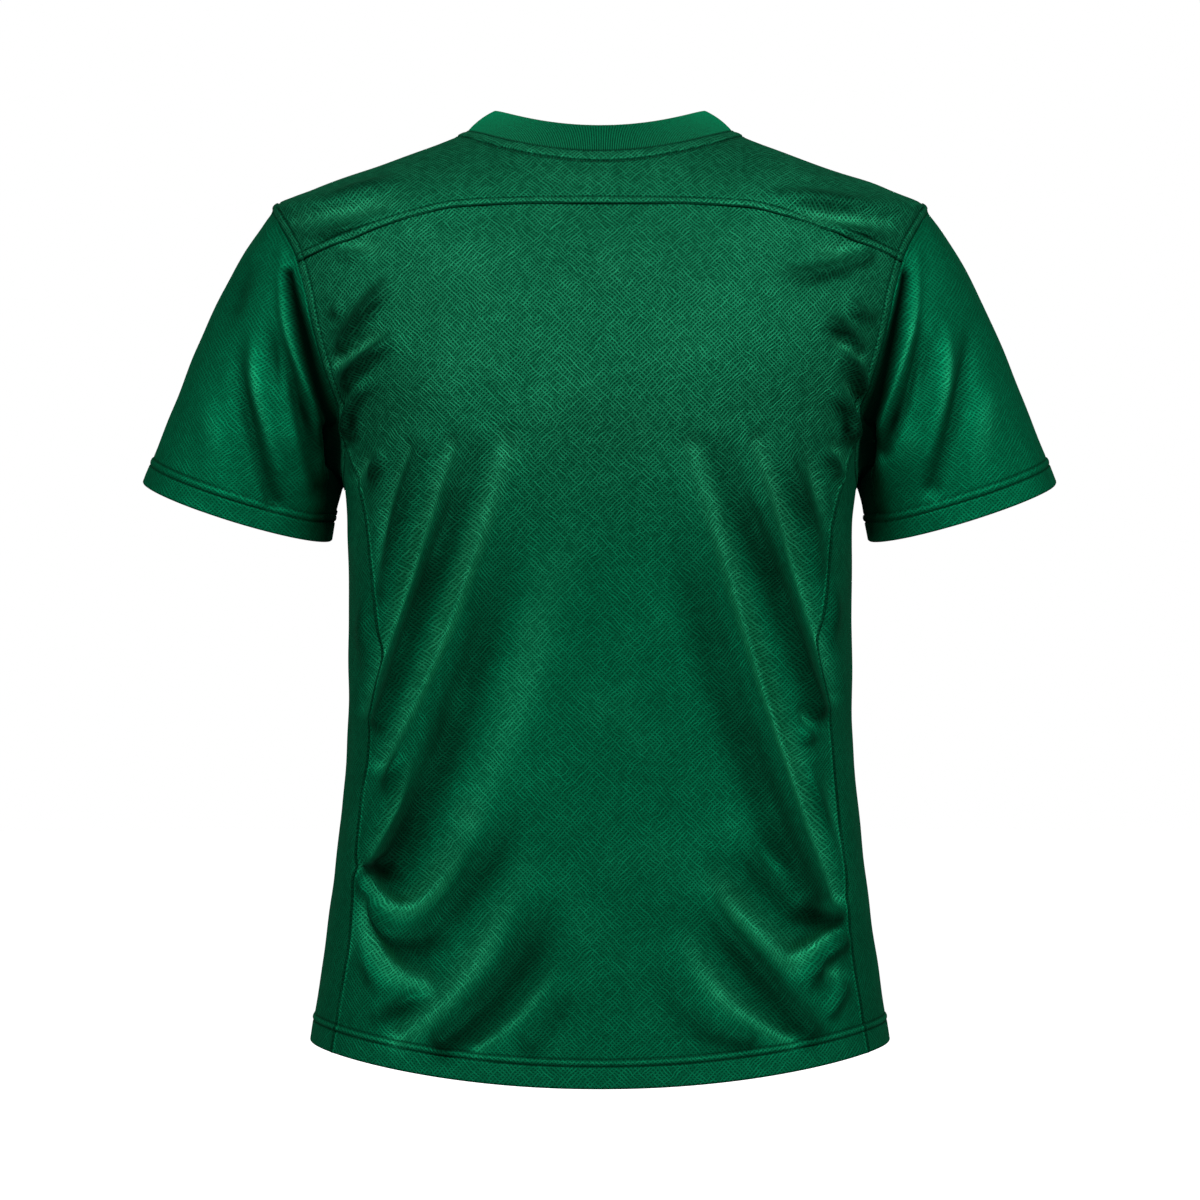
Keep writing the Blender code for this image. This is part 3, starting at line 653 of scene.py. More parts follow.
def makeMesh(name, points, quads, uv=None, shades=None):
    mesh = bpy.data.meshes.new(name)
    mesh.vertices.add(len(points))
    mesh.vertices.foreach_set("co", points.astype(np.float32).ravel())
    mesh.loops.add(quads.size)
    mesh.loops.foreach_set("vertex_index", quads.astype(np.int32).ravel())
    mesh.polygons.add(len(quads))
    mesh.polygons.foreach_set("loop_start", np.arange(0, quads.size, quads.shape[1], dtype=np.int32))
    mesh.update(calc_edges=True)
    if uv is not None:
        layer = mesh.uv_layers.new(name="cloth")
        layer.data.foreach_set("uv", uv.astype(np.float32).ravel())
    for key, values in (shades or {}).items():
        layer = mesh.attributes.new(key, "FLOAT", "POINT")
        layer.data.foreach_set("value", values.astype(np.float32).ravel())
    mesh.shade_smooth()
    mesh.validate()
    piece = bpy.data.objects.new(name, mesh)
    bpy.context.scene.collection.objects.link(piece)
    return piece


def gridQuads(rows, columns, around=False, over=False):
    # around joins the last column to the first, and over the last row to the first
    index = np.arange(rows * columns).reshape(rows, columns)
    if around:
        index = np.concatenate((index, index[:, :1]), axis=1)
    if over:
        index = np.concatenate((index, index[:1]))
    return np.stack((index[:-1, :-1], index[:-1, 1:], index[1:, 1:], index[1:, :-1]), axis=-1).reshape(-1, 4)


clothWall = 0.0012


def clothPiece(name, node, grid, uv, shades, around=False):
    # an open sheet with its thickness inwards; it stands for the solid of the same panel
    rows, columns = grid.shape[:2]
    quads = gridQuads(rows, columns, around)
    uvIndex = gridQuads(rows, columns + 1) if around else quads
    piece = makeMesh(name, grid.reshape(-1, 3), quads, uv.reshape(-1, 2)[uvIndex], shades)
    piece.data.materials.append(materials["knit"])
    wall = piece.modifiers.new("wall", "SOLIDIFY")
    wall.thickness = clothWall
    wall.offset = -1
    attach(piece, "root")
    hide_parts(node)
    return piece


class Wire:
    # a socket that adds a Math node for every operator

    def __init__(self, tree, socket=None):
        self.tree = tree
        self.socket = socket

    def node(self, kind, settings=None, values=None, output=0):
        made = self.tree.nodes.new(kind)
        for name, value in (settings or {}).items():
            if name == "stops":
                for stop, (place, color) in zip(made.color_ramp.elements, value):
                    stop.position, stop.color = place, color
            else:
                setattr(made, name, value)
        for name, value in (values or {}).items():
            if isinstance(value, Wire):
                self.tree.links.new(value.socket, made.inputs[name])
            else:
                made.inputs[name].default_value = value
        return Wire(self.tree, made.outputs[output])

    def other(self, output):
        return Wire(self.tree, self.socket.node.outputs[output])

    def maths(self, operation, *values):
        return self.node("ShaderNodeMath", {"operation": operation}, dict(enumerate(values)))

    def __add__(self, other):
        return self.maths("ADD", self, other)

    def __radd__(self, other):
        return self.maths("ADD", other, self)

    def __sub__(self, other):
        return self.maths("SUBTRACT", self, other)

    def __rsub__(self, other):
        return self.maths("SUBTRACT", other, self)

    def __mul__(self, other):
        return self.maths("MULTIPLY", self, other)

    def __rmul__(self, other):
        return self.maths("MULTIPLY", other, self)

    def __pow__(self, other):
        return self.maths("POWER", self, other)

    def sine(self):
        return self.maths("SINE", self)

    def clamp(self):
        return self.node("ShaderNodeClamp", None, {0: self})

    def most(self, other):
        return self.maths("MAXIMUM", self, other)

    def mix(self, first, second):
        # this wire is the share of the second colour
        made = self.tree.nodes.new("ShaderNodeMix")
        made.data_type = "RGBA"
        for socket, value in ((made.inputs[0], self), (made.inputs[6], first), (made.inputs[7], second)):
            if isinstance(value, Wire):
                self.tree.links.new(value.socket, socket)
            else:
                socket.default_value = (*value, 1)
        return Wire(self.tree, made.outputs[2])


def newMaterial(name):
    material = bpy.data.materials.new(name)
    material.use_nodes = True
    return material, material.node_tree.nodes["Principled BSDF"], Wire(material.node_tree)


def wave(place):
    # 0 to 1 and back, once for each whole step of place
    return (place * (2 * math.pi)).sine() * 0.5 + 0.5


def noise(wire, place, scale, detail):
    # 0 to 1, over the cloth's own flat sizes
    sizes = {"Vector": place, "Scale": scale, "Detail": detail}
    return wire.node("ShaderNodeTexNoise", {"noise_dimensions": "2D"}, sizes)


def shadeInput(wire, name):
    return wire.node("ShaderNodeAttribute", {"attribute_name": name}, output="Fac")


def finishShader(material, shader, color, rough, height, bump, fixed):
    # what changes over the surface is linked, and what is fixed is set on the shader's own sockets
    wire = Wire(material.node_tree)
    normal = wire.node("ShaderNodeBump", None, {"Strength": bump[0], "Distance": bump[1], "Height": height})
    for name, value in (("Base Color", color), ("Roughness", rough), ("Normal", normal)):
        material.node_tree.links.new(value.socket, shader.inputs[name])
    for name, value in fixed.items():
        shader.inputs[name].default_value = value
    return material


knitLook = {
    "ground": (0.0002, 0.048, 0.0190),
    "lit": (0.0010, 0.182, 0.0780),
    # painted highlight: the whitish colour of threads where light catches them
    "gleam": (0.0600, 0.2500, 0.1400),
    "bodyHatch": (1.10, 0.72),  # how plain the threads are to see, above and below; the amount above the lower one brings the painted highlight
    "sleeveHatch": 0.6,
    "sleeveLight": {"left": 0.06, "right": 0.16},  # painted light: how much lighter each sleeve's colour is made, as if it lay more to the light
    "bandLight": 0.40,  # painted highlight: how much lighter the raised bands beside seams are, where they are this high
    "bandHeight": 0.001,
    "hatchLevels": (-0.36, -0.20),  # the threads grow plainer between these heights
    "eyelet": (0.0001, 0.016, 0.0065),
    "deep": (0.0, 0.0006, 0.0002),
    "spacing": 0.0023,  # between neighbouring diagonal threads
    "warp": 0.0012,  # how far they wander
    "wander": 110.0,  # scales of the noises: the threads' wandering, which family shows, fibres and clouds
    "patch": 38.0,
    "fibre": 900.0,
    "cloud": 11.0,
    "strand": (0.28, 0.8, 2.6),  # each thread's strength: its stretch along it, scale and contrast
    "threadPower": 1.4,
    "eyeletPower": 1.5,
    "bump": (0.6, 0.0005),
    "foldTone": 0.66,  # painted highlight and painted shade: how much lighter the crests are, and how much darker the hollows
    "roughness": 0.58,
    "fixed": {
        "Metallic": 0.50,  # a satin gleam in the cloth's own colour
        "Specular IOR Level": 0.22,
        "Specular Tint": (0.05, 0.80, 0.40, 1),
        "Sheen Weight": 0.03,
        "Sheen Roughness": 0.45,
        "Sheen Tint": (0.05, 1.0, 0.50, 1),
    },
}


def threadStrength(wire, across, along):
    # each thread of a family has its own strength, that comes and goes along it
    stretch, scale, contrast = knitLook["strand"]
    place = wire.node("ShaderNodeCombineXYZ", None, {"X": across, "Y": along * stretch})
    return ((noise(wire, place, scale, 1.0) - 0.5) * contrast + 0.50).clamp()


def knitThreads(wire, uv):
    # two families of diagonal threads, a = (u + v) / s and b = (u - v) / s, with an eyelet where both dip
    look = knitLook
    apart = wire.node("ShaderNodeSeparateXYZ", None, {0: uv})
    drift = wire.node("ShaderNodeSeparateXYZ", None, {0: noise(wire, uv, look["wander"], 1.0).other("Color")})
    u = apart + (drift - 0.5) * (2 * look["warp"])
    v = apart.other("Y") + (drift.other("Y") - 0.5) * (2 * look["warp"])
    step = math.sqrt(2) * look["spacing"]
    rising = (u + v) * (1 / step)
    falling = (u - v) * (1 / step)
    one = wave(rising)
    two = wave(falling)
    lean = ((noise(wire, uv, look["patch"], 1.0) - 0.5) * 3.5 + 0.5).clamp()
    first = one ** look["threadPower"] * (threadStrength(wire, rising, falling) * 0.7 + lean * 0.3)
    second = two ** look["threadPower"] * (threadStrength(wire, falling, rising) * 0.7 + (1 - lean) * 0.3)
    return first.most(second), ((1 - one) * (1 - two)) ** look["eyeletPower"]


def knitMaterial():
    # threads lighter than the ground, whiter with a painted highlight where they gleam, then painted shade in
    # seams, folds and hollows, and painted highlight on crests
    look = knitLook
    material, shader, wire = newMaterial("performance_knit")
    uv = wire.node("ShaderNodeUVMap", {"uv_map": "cloth"})
    thread, eyelet = knitThreads(wire, uv)
    fibre = noise(wire, uv, look["fibre"], 2.0)
    cloudy = noise(wire, uv, look["cloud"], 2.0)
    names = ("hatchAndHighlight", "seamShade", "foldShade", "paintedShade")
    hatchAndHighlight, shade, fold, paintedShade = (shadeInput(wire, name) for name in names)
    lit = (hatchAndHighlight * (thread * (0.55 + cloudy * 0.6) - 0.35) + (fibre - 0.5) * 0.2 + 0.38).clamp()
    color = lit.mix(look["ground"], look["lit"])
    color = (eyelet * hatchAndHighlight * 0.75).mix(color, look["eyelet"])
    plain = look["bodyHatch"][1]
    # painted highlight: whiter threads on the yoke and shoulder blades and on the fold crests
    gleam = (((hatchAndHighlight - plain) * 0.40 + fold.most(0.0) * 0.12) * (thread * 0.8 + 0.1)).clamp()
    color = gleam.mix(color, look["gleam"])
    # painted highlight on the crests and painted shade in the hollows, by the folds' height
    foldLightAndShade = 1 + fold * look["foldTone"]
    color = wire.node("ShaderNodeVectorMath", {"operation": "SCALE"}, {0: color, "Scale": foldLightAndShade})
    color = (shade * 0.85).clamp().mix(color, look["eyelet"])
    # painted shade: near black where the cloth folds in deep, and a little darker down the middle of the back
    color = paintedShade.clamp().mix(color, look["deep"])
    height = (thread * 0.9 - eyelet * 0.6) * hatchAndHighlight + fibre * 0.25
    rough = (look["roughness"] - thread * 0.08 + eyelet * 0.1 + paintedShade * 0.4).clamp()
    return finishShader(material, shader, color, rough, height, look["bump"], look["fixed"])


ribLook = {
    "ridge": (0.0003, 0.166, 0.0680),
    # painted shade: the near black of the furrows between the ribs
    "furrowShade": (0.0000, 0.003, 0.0012),
    "pitch": 0.00135,
    "loop": 0.0011,  # each stitch up a rib
    "fibre": 700.0,
    "seamShade": 0.0040,  # painted shade: darker up to here from the hidden lower edge, over the next length
    "seamEase": 0.0014,
    "bump": (0.4, 0.0004),
    "fixed": {
        "Specular IOR Level": 0.05,
        "Sheen Weight": 0.03,
        "Sheen Tint": knitLook["fixed"]["Sheen Tint"],
    },
}


def ribMaterial():
    # one rib for each pitch along the neck, painted shade in the furrows between them and along the lower
    # seam, with short stitches up each rib
    look = ribLook
    material, shader, wire = newMaterial("rib_knit")
    uv = wire.node("ShaderNodeUVMap", {"uv_map": "cloth"})
    apart = wire.node("ShaderNodeSeparateXYZ", None, {0: uv})
    rib = wave(apart * (1 / look["pitch"]) + 0.25)
    loops = wave(apart.other("Y") * (1 / look["loop"]))
    fibre = noise(wire, uv, look["fibre"], 2.0)
    color = (rib + (fibre - 0.5) * 0.4 - 0.06).clamp().mix(look["furrowShade"], look["ridge"])
    # painted shade along the collar's seam with the neck
    beside = ((look["seamShade"] - apart.other("Y")) * (1 / look["seamEase"])).clamp() * 0.85
    color = beside.mix(color, look["furrowShade"])
    height = rib * 0.5 + loops * 0.25 + fibre * 0.3
    return finishShader(material, shader, color, 0.72 - rib * 0.1, height, look["bump"], look["fixed"])


threadLook = {
    "color": (0.0008, 0.110, 0.0460),
    "dark": (0.0003, 0.026, 0.0105),
    "twist": 260.0,
    "bump": (0.4, 0.0001),
    "fixed": {"Specular IOR Level": 0.1},
}


def threadMaterial():
    # a twisted thread: slanting bands round it
    look = threadLook
    material, shader, wire = newMaterial("sewing_thread")
    place = wire.node("ShaderNodeTexCoord", output="Object")
    sizes = {"Vector": place, "Scale": look["twist"], "Distortion": 1.5, "Detail": 1.0}
    twist = wire.node("ShaderNodeTexWave", {"bands_direction": "DIAGONAL"}, sizes, output="Fac")
    color = (twist * 0.8).mix(look["dark"], look["color"])
    return finishShader(material, shader, color, 0.5 + twist * 0.1, twist, look["bump"], look["fixed"])


materials = {"knit": knitMaterial(), "rib": ribMaterial(), "thread": threadMaterial()}
print("materials made:", ", ".join(materials))


stitchRun = {"fewest": 12, "break": 0.02, "wrap": 0.2, "smooth": 5}


def contour(grid, normals, gap, value, share):
    # places where the gap crosses the value, between neighbours on the grid, in order along the seam
    found = []
    for axis in (0, 1):
        ends = [np.moveaxis(part, axis, 0) for part in (grid, normals, gap[..., None], share[..., None])]
        low, high = ([part[:-1] for part in ends], [part[1:] for part in ends])
        near = np.abs(high[3] - low[3])[..., 0] < stitchRun["wrap"]
        crosses = ((low[2] - value) * (high[2] - value) < 0)[..., 0] & near
        t = ((value - low[2]) / np.where(high[2] == low[2], 1, high[2] - low[2]))[crosses]
        found.append([low[k][crosses] + (high[k] - low[k])[crosses] * t for k in (0, 1, 3)])
    points, ways, order = (np.concatenate([part[k] for part in found]) for k in range(3))
    order = order[:, 0]
    turn = np.argsort(order)
    return points[turn], ways[turn], order[turn]


stitchLook = {
    "pitch": 0.0027,
    "length": 0.0017,
    "radius": 0.00022,
    "lift": -0.00016,
    "shoulder": 0.6,
    "sides": 6,
}


def resample(points, ways, pitch):
    # the line again in equal steps, after a running mean that evens out the grid's own steps
    width = stitchRun["smooth"]
    kernel = np.ones(width) / width
    ends = np.pad(points, ((width // 2, width // 2), (0, 0)), mode="edge")
    even = np.stack([np.convolve(ends[:, k], kernel, "valid") for k in range(3)], axis=1)
    run = np.concatenate(([0], np.cumsum(np.linalg.norm(np.diff(even, axis=0), axis=1))))
    count = max(2, int(run[-1] / pitch))
    places = (np.arange(count) + 0.5) * run[-1] / count
    line = np.stack([np.interp(places, run, even[:, k]) for k in range(3)], axis=1)
    out = unit(np.stack([np.interp(places, run, ways[:, k]) for k in range(3)], axis=1))
    along = unit(np.gradient(line, axis=0))
    return line, out, along


def capsules(line, out, along, look):
    # each stitch is a six-sided spindle: its two tips and two rings round it
    side = unit(np.cross(along, out))
    out = unit(np.cross(side, along))
    turn = np.linspace(0, 2 * math.pi, look["sides"], endpoint=False)
    ring = look["radius"] * (side[:, None] * np.cos(turn)[:, None] + out[:, None] * np.sin(turn)[:, None])
    half = along[:, None] * look["length"] / 2
    shoulder = half * look["shoulder"]
    middle = (line + out * look["lift"])[:, None]
    rings = (ring + middle - shoulder, ring + middle + shoulder)
    points = np.concatenate((middle - half, *rings, middle + half), axis=1)
    n = look["sides"]
    first = np.arange(n)
    after = (first + 1) % n
    tips = np.stack((0 * first, 1 + after, 1 + first), axis=1)
    skin = np.stack((1 + first, 1 + after, 1 + n + after, 1 + n + first), axis=1)
    skin = np.concatenate((skin[:, [0, 1, 2]], skin[:, [0, 2, 3]]))
    caps = np.stack((0 * first + 1 + 2 * n, 1 + n + first, 1 + n + after), axis=1)
    faces = np.concatenate((tips, skin, caps))
    start = np.arange(len(line))[:, None, None] * points.shape[1]
    return points.reshape(-1, 3), (faces[None] + start).reshape(-1, 3)


stitchLines = {}


def addStitches(name, grid, normals, gap, share, value, **changes):
    # keeps a line of stitches for one seam; makeStitches joins them at the end
    points, ways, order = contour(grid, normals, gap, value, share)
    look = {**stitchLook, **changes}
    breaks = np.flatnonzero(np.linalg.norm(np.diff(points, axis=0), axis=1) > stitchRun["break"]) + 1
    for some in np.split(np.arange(len(points)), breaks):
        if len(some) > stitchRun["fewest"]:
            line, out, along = resample(points[some], ways[some], look["pitch"])
            stitchLines.setdefault(name, []).append(capsules(line, out, along, look))


def makeStitches():
    made = {}
    for name, parts in stitchLines.items():
        starts = np.cumsum([0] + [len(points) for points, _ in parts[:-1]])
        points = np.concatenate([points for points, _ in parts])
        faces = np.concatenate([faces + start for (_, faces), start in zip(parts, starts)])
        piece = makeMesh(name, points, faces)
        piece.data.materials.append(materials["thread"])
        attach(piece, "root")
        made[name] = piece
    return made


sheets = {}  # every sheet's piece, what it was cut to and how it is held


shadeSize = {
    "line": 0.00078,  # how wide the dark line in a groove is
    "fold": 0.0048,  # the height or depth at which a fold is mostly at its full tone
    "crest": 1.35,
    "deep": 0.45,  # painted shade: how much darker the deepest folds are, past the next depth and over the one after
    "deepFrom": 0.0075,
    "deepOver": 0.0045,
}


def shadeOf(gapsAndPlaces):
    # darkest in the grooves, where little light gets in
    return np.clip(sum(bar(gap, place, shadeSize["line"]) for gap, place in gapsAndPlaces), 0, 1)


def foldShade(folds):
    # painted shade and highlight: -1 in hollows and above 1 on crests, by the hyperbolic tangent, and darker
    # still where cloth is deep in
    size = shadeSize
    deep = size["deep"] * ramp((-folds - size["deepFrom"]) / size["deepOver"])
    return np.tanh(folds / size["fold"]) * np.where(folds > 0, size["crest"], 1) - deep


def hatchOf(grid):
    # the threads show plainly on the yoke and shoulder blades, and less below, where the painted highlight
    # fades too
    top, low = knitLook["bodyHatch"]
    lowest, highest = knitLook["hatchLevels"]
    return low + (top - low) * ramp((grid[..., 2] - lowest) / (highest - lowest))


def panelGrid(columns, edgeLevels, bottom, top, behind):
    # rows from seam to seam, each column with the rows of its edge squeezed or stretched to fit
    share = np.abs(columns)[None, :]
    rows = ((edgeLevels - edgeLevels[0]) / (edgeLevels[-1] - edgeLevels[0]))[:, None]
    level = bottom(share) * (1 - rows) + top(share) * rows
    angle = columns * edgeAngle(level, behind)
    angle = -angle if behind else 180 - angle
    return bodyForm(angle, level, 0 if behind else 180)


def straightSeam(name):
    # the same level all along the seam
    return lambda share: levels[name] + 0 * share


def edgeLadder(reach, coarse, fine, spread):
    # columns from -1 to 1, close together at both edges
    places = ladder(2 * reach, coarse, [(0, spread, fine), (2 * reach, spread, fine)])
    return places / reach - 1


hemZone = 0.0235  # up from a hem or cuff, with close rows for its roll and grooves
rippleEase = 0.03  # the slow waves grow over this distance from the hem
turnedUp = 0.021  # inside every hem and cuff


def hemMarks(gap, kind):
    return [(gap, relief[kind]["lower"]), (gap, relief[kind]["upper"])]


def armholeMarks(gap):
    return [(gap, 0), (gap, relief["armhole"]["width"])]


def finishPanel(node, form, seamGaps, height, marks, held, allowance=0.0):
    # the seam edges turn in along the smooth body's normal, which neighbours share, so that they still meet
    name = f"{node}_cloth"
    grid = form["points"]
    flat = cutOf(grid, runLength(grid, 1)[:, -1].max(), np.ptp(form["uv"][..., 1]), allowance)
    turnIn = tuck(np.minimum.reduce(seamGaps))
    grid = grid + gridNormals(grid) * height[..., None] + form["normals"] * turnIn[..., None]
    # painted highlight on the raised bands, added to the folds' painted tone
    paintedBandLight = knitLook["bandLight"] * np.clip(height / knitLook["bandHeight"], 0, 1)
    shades = {
        "seamShade": shadeOf(marks),
        "foldShade": foldShade(form["folds"]) + paintedBandLight,
        "paintedShade": form["paintedShades"],
        "hatchAndHighlight": hatchOf(grid),
    }
    sheets[name] = {"piece": clothPiece(name, node, grid, form["uv"], shades), "flat": flat, "held": held}
    return grid, gridNormals(grid)


def hemStitches(grid, normals, gap):
    share = shareAlong(grid, "hem")
    for place in ("lower", "upper"):
        addStitches("hem_stitches", grid, normals, gap, share, relief["hem"][place])


def armholeStitches(grid, normals, away, name):
    seam = f"armhole_{name}"
    line = relief["armhole"]["width"]
    addStitches(f"armhole_stitches_{name}", grid, normals, away[seam], shareAlong(grid, seam), line)


backSize = {
    "halfArc": 0.226,
    "column": 0.0023,
    "coarse": 0.0038,
    "fine": 0.0005,
    "hemFine": 0.0007,
    "edge": 0.0075,
    "yokeEdge": 0.003,
}


def addBack():
    size = backSize
    columns = edgeLadder(size["halfArc"], size["column"], size["fine"], size["edge"])
    length = levels["yokeEnd"] - levels["hem"]
    spots = [(0, hemZone, size["hemFine"]), (length, size["yokeEdge"], size["fine"])]
    rows = levels["hem"] + ladder(length, size["coarse"], spots)
    form = panelGrid(columns, rows, straightSeam("hem"), yokeLevel, True)
    grid = form["points"]
    away = gaps(grid, "yoke", "hem", "armhole_left", "armhole_right", "side_back_left", "side_back_right")
    height = turnUp(away["hem"], **relief["hem"]) + undulation(grid, "back") * ramp(away["hem"] / rippleEase)
    seamGaps = [away["yoke"]]
    marks = [(away["yoke"], 0)] + hemMarks(away["hem"], "hem")
    for name in sides:
        arm = away[f"armhole_{name}"]
        seam = away[f"side_back_{name}"]
        height += band(arm, **relief["armhole"]) + welt(seam, "welt")
        seamGaps += [arm, seam]
        marks += armholeMarks(arm) + [(seam, 0)]
    grid, normals = finishPanel("back_panel", form, seamGaps, height, marks, "hung", turnedUp)
    hemStitches(grid, normals, away["hem"])
    for name in sides:
        armholeStitches(grid, normals, away, name)


yokeSize = {"coarse": 0.0030, "shoulder": 0.0013, "fine": 0.0005, "tipFine": 0.0003}
shoulderZones = {"low": 0.0075, "underTip": 0.007, "overTip": 0.004, "neck": 0.005, "neckFine": 0.00028}


def shoulderRows(first, size):
    # edge levels from the first one over the tip to the neck, where a step of level is over twice as long
    zone = shoulderZones
    toTip = levels["tip"] - first
    spots = [(0, zone["low"], size["fine"]), (toTip, zone["underTip"], size["fine"])]
    low = ladder(toTip, size["coarse"], spots)
    toNeck = levels["neck"] - levels["tip"]
    spots = [(0, zone["overTip"], size["tipFine"]), (toNeck, zone["neck"], zone["neckFine"])]
    high = ladder(toNeck, size["shoulder"], spots)
    return np.concatenate((first + low, levels["tip"] + high[1:]))


def shoulderRelief(grid, *names):
    # what the yoke and the front share: armholes, shoulder seams and the neck's pressed-down allowance
    pairs = [f"{seam}_{name}" for seam in ("armhole", "shoulder") for name in sides]
    away = gaps(grid, "neck", *pairs, *names)
    height = band(away["neck"], **relief["neck"]) + undulation(grid, "shoulders")
    edge = relief["neck"]["width"]
    marks = [(away["neck"], place) for place in (0, edge, edge + chainGap)]
    seamGaps = [away["neck"]]
    for name in sides:
        arm = away[f"armhole_{name}"]
        ridge = away[f"shoulder_{name}"]
        height += band(arm, **relief["armhole"])
        seamGaps += [arm, ridge]
        marks += armholeMarks(arm) + [(ridge, 0)]
    return away, height, marks, seamGaps


chainLook = {"pitch": 0.0019, "length": 0.0013, "radius": 0.00050, "lift": 0.0001}
chainGap = 0.0010  # below the neck's allowance


def neckStitches(grid, normals, gap):
    # a chain of small round stitches along the lower edge of the neck's allowance
    place = relief["neck"]["width"] + chainGap
    addStitches("neck_stitches", grid, normals, gap, shareAlong(grid, "neck"), place, **chainLook)


bandEase = {"yoke": 0.002, "shoulder": 0.004}  # a band sinks over this distance before the armhole's band


def addYoke():
    columns = edgeLadder(backSize["halfArc"], backSize["column"], backSize["fine"], backSize["edge"])
    rows = shoulderRows(levels["yokeEnd"], yokeSize)
    form = panelGrid(columns, rows, yokeLevel, straightSeam("neck"), True)
    grid = form["points"]
    away, height, marks, seamGaps = shoulderRelief(grid, "yoke")
    clear = {name: away[f"armhole_{name}"] - relief["armhole"]["width"] for name in sides}
    for name in sides:
        ridge = band(away[f"shoulder_{name}"], **relief["shoulder"])
        height += ridge * ramp(clear[name] / bandEase["shoulder"])
    beside = np.minimum(clear["left"], clear["right"])
    height += band(away["yoke"], **relief["yoke"]) * ramp(beside / bandEase["yoke"])
    seamGaps.append(away["yoke"])
    marks += [(away["yoke"], 0), (away["yoke"], relief["yoke"]["width"])]
    grid, normals = finishPanel("back_yoke", form, seamGaps, height, marks, "draped")
    line = relief["yoke"]["width"]
    addStitches("yoke_stitches", grid, normals, away["yoke"], shareAlong(grid, "yoke"), line)
    neckStitches(grid, normals, away["neck"])
    for name in sides:
        armholeStitches(grid, normals, away, name)


frontSize = {"halfArc": 0.224, "coarse": 0.0040, "fine": 0.0008, "hemFine": 0.0008, "edge": 0.0070}
frontRows = {"coarse": 0.0030, "shoulder": 0.0015, "fine": 0.0009, "tipFine": 0.0004}


def addFront():
    size = frontSize
    columns = edgeLadder(size["halfArc"], size["coarse"], size["fine"], size["edge"])
    below = ladder(levels["yokeEnd"] - levels["hem"], size["coarse"], [(0, hemZone, size["hemFine"])])
    above = shoulderRows(levels["yokeEnd"], frontRows)
    rows = np.concatenate((levels["hem"] + below, above[1:]))
    form = panelGrid(columns, rows, straightSeam("hem"), straightSeam("neck"), False)
    grid = form["points"]
    away, height, marks, seamGaps = shoulderRelief(grid, "hem", "side_front_left", "side_front_right")
    height += turnUp(away["hem"], **relief["hem"])
    marks += hemMarks(away["hem"], "hem")
    for name in sides:
        seam = away[f"side_front_{name}"]
        height += welt(seam, "welt")
        marks.append((seam, 0))
        seamGaps.append(seam)
    grid, normals = finishPanel("front_panel", form, seamGaps, height, marks, "hung", turnedUp)
    hemStitches(grid, normals, away["hem"])
    neckStitches(grid, normals, away["neck"])
    for name in sides:
        armholeStitches(grid, normals, away, name)


sidePanelSize = {
    "halfArc": 0.055,
    "coarse": 0.0030,
    "fine": 0.0006,
    "hemFine": 0.0006,
    "topFine": 0.0008,
    "edge": 0.004,
    "top": 0.010,
}


def halfSidePanel(side, behind, share, rows):
    # from its seam round to under the arm
    lowest = levels["hem"]
    climb = lowest + rows * (underarmLevel(share, behind) - lowest)
    seam = seamAngle(climb, behind)
    angle = seam + share * (90 - seam)
    return bodyForm(side * (angle if behind else 180 - angle), climb, 90)


def addSidePanel(name, side):
    # two halves that meet under the arm, as one grid from left to right seen from outside
    size = sidePanelSize
    share = ladder(size["halfArc"], size["coarse"], [(0, size["edge"], size["fine"])]) / size["halfArc"]
    length = levels["panelTop"] - levels["hem"]
    spots = [(0, hemZone, size["hemFine"]), (length, size["top"], size["topFine"])]
    rows = ladder(length, size["coarse"], spots)[:, None] / length
    back, front = (halfSidePanel(side, behind, share, rows) for behind in (True, False))
    form = {key: np.concatenate((back[key], front[key][:, ::-1][:, 1:]), axis=1)[:, ::-side] for key in back}
    grid = form["points"]
    away = gaps(grid, "hem", f"armhole_{name}", f"side_back_{name}", f"side_front_{name}")
    seam = np.minimum(away[f"side_back_{name}"], away[f"side_front_{name}"])
    arm = away[f"armhole_{name}"]
    height = turnUp(away["hem"], **relief["hem"]) + band(arm, **relief["armhole"])
    height += undulation(grid, "side") * ramp(away["hem"] / rippleEase) + welt(seam, "sideWelt")
    marks = hemMarks(away["hem"], "hem") + armholeMarks(arm) + [(seam, 0)]
    grid, normals = finishPanel(f"side_panel_{name}", form, [seam, arm], height, marks, "hung", turnedUp)
    hemStitches(grid, normals, away["hem"])
    armholeStitches(grid, normals, away, name)


sleeveSize = {
    "cuffOuter": (0.3440, -0.2560),
    "cuffInner": (0.2025, -0.3003),
    "halfDepth": 0.053,
    "forward": -0.018,
    "swing": 0.16,
    "capSpread": 0.42,
    "cuffSpread": 0.10,
    "capPull": 0.90,
    "length": 0.225,
    "girth": 0.44,
    "coarse": 0.0030,
    "around": 108,
    "seamZone": 0.004,
    "seamFine": 0.0006,
    "cuffZone": 0.024,
    "cuffFine": 0.0007,
    "rippleEase": 0.02,
}

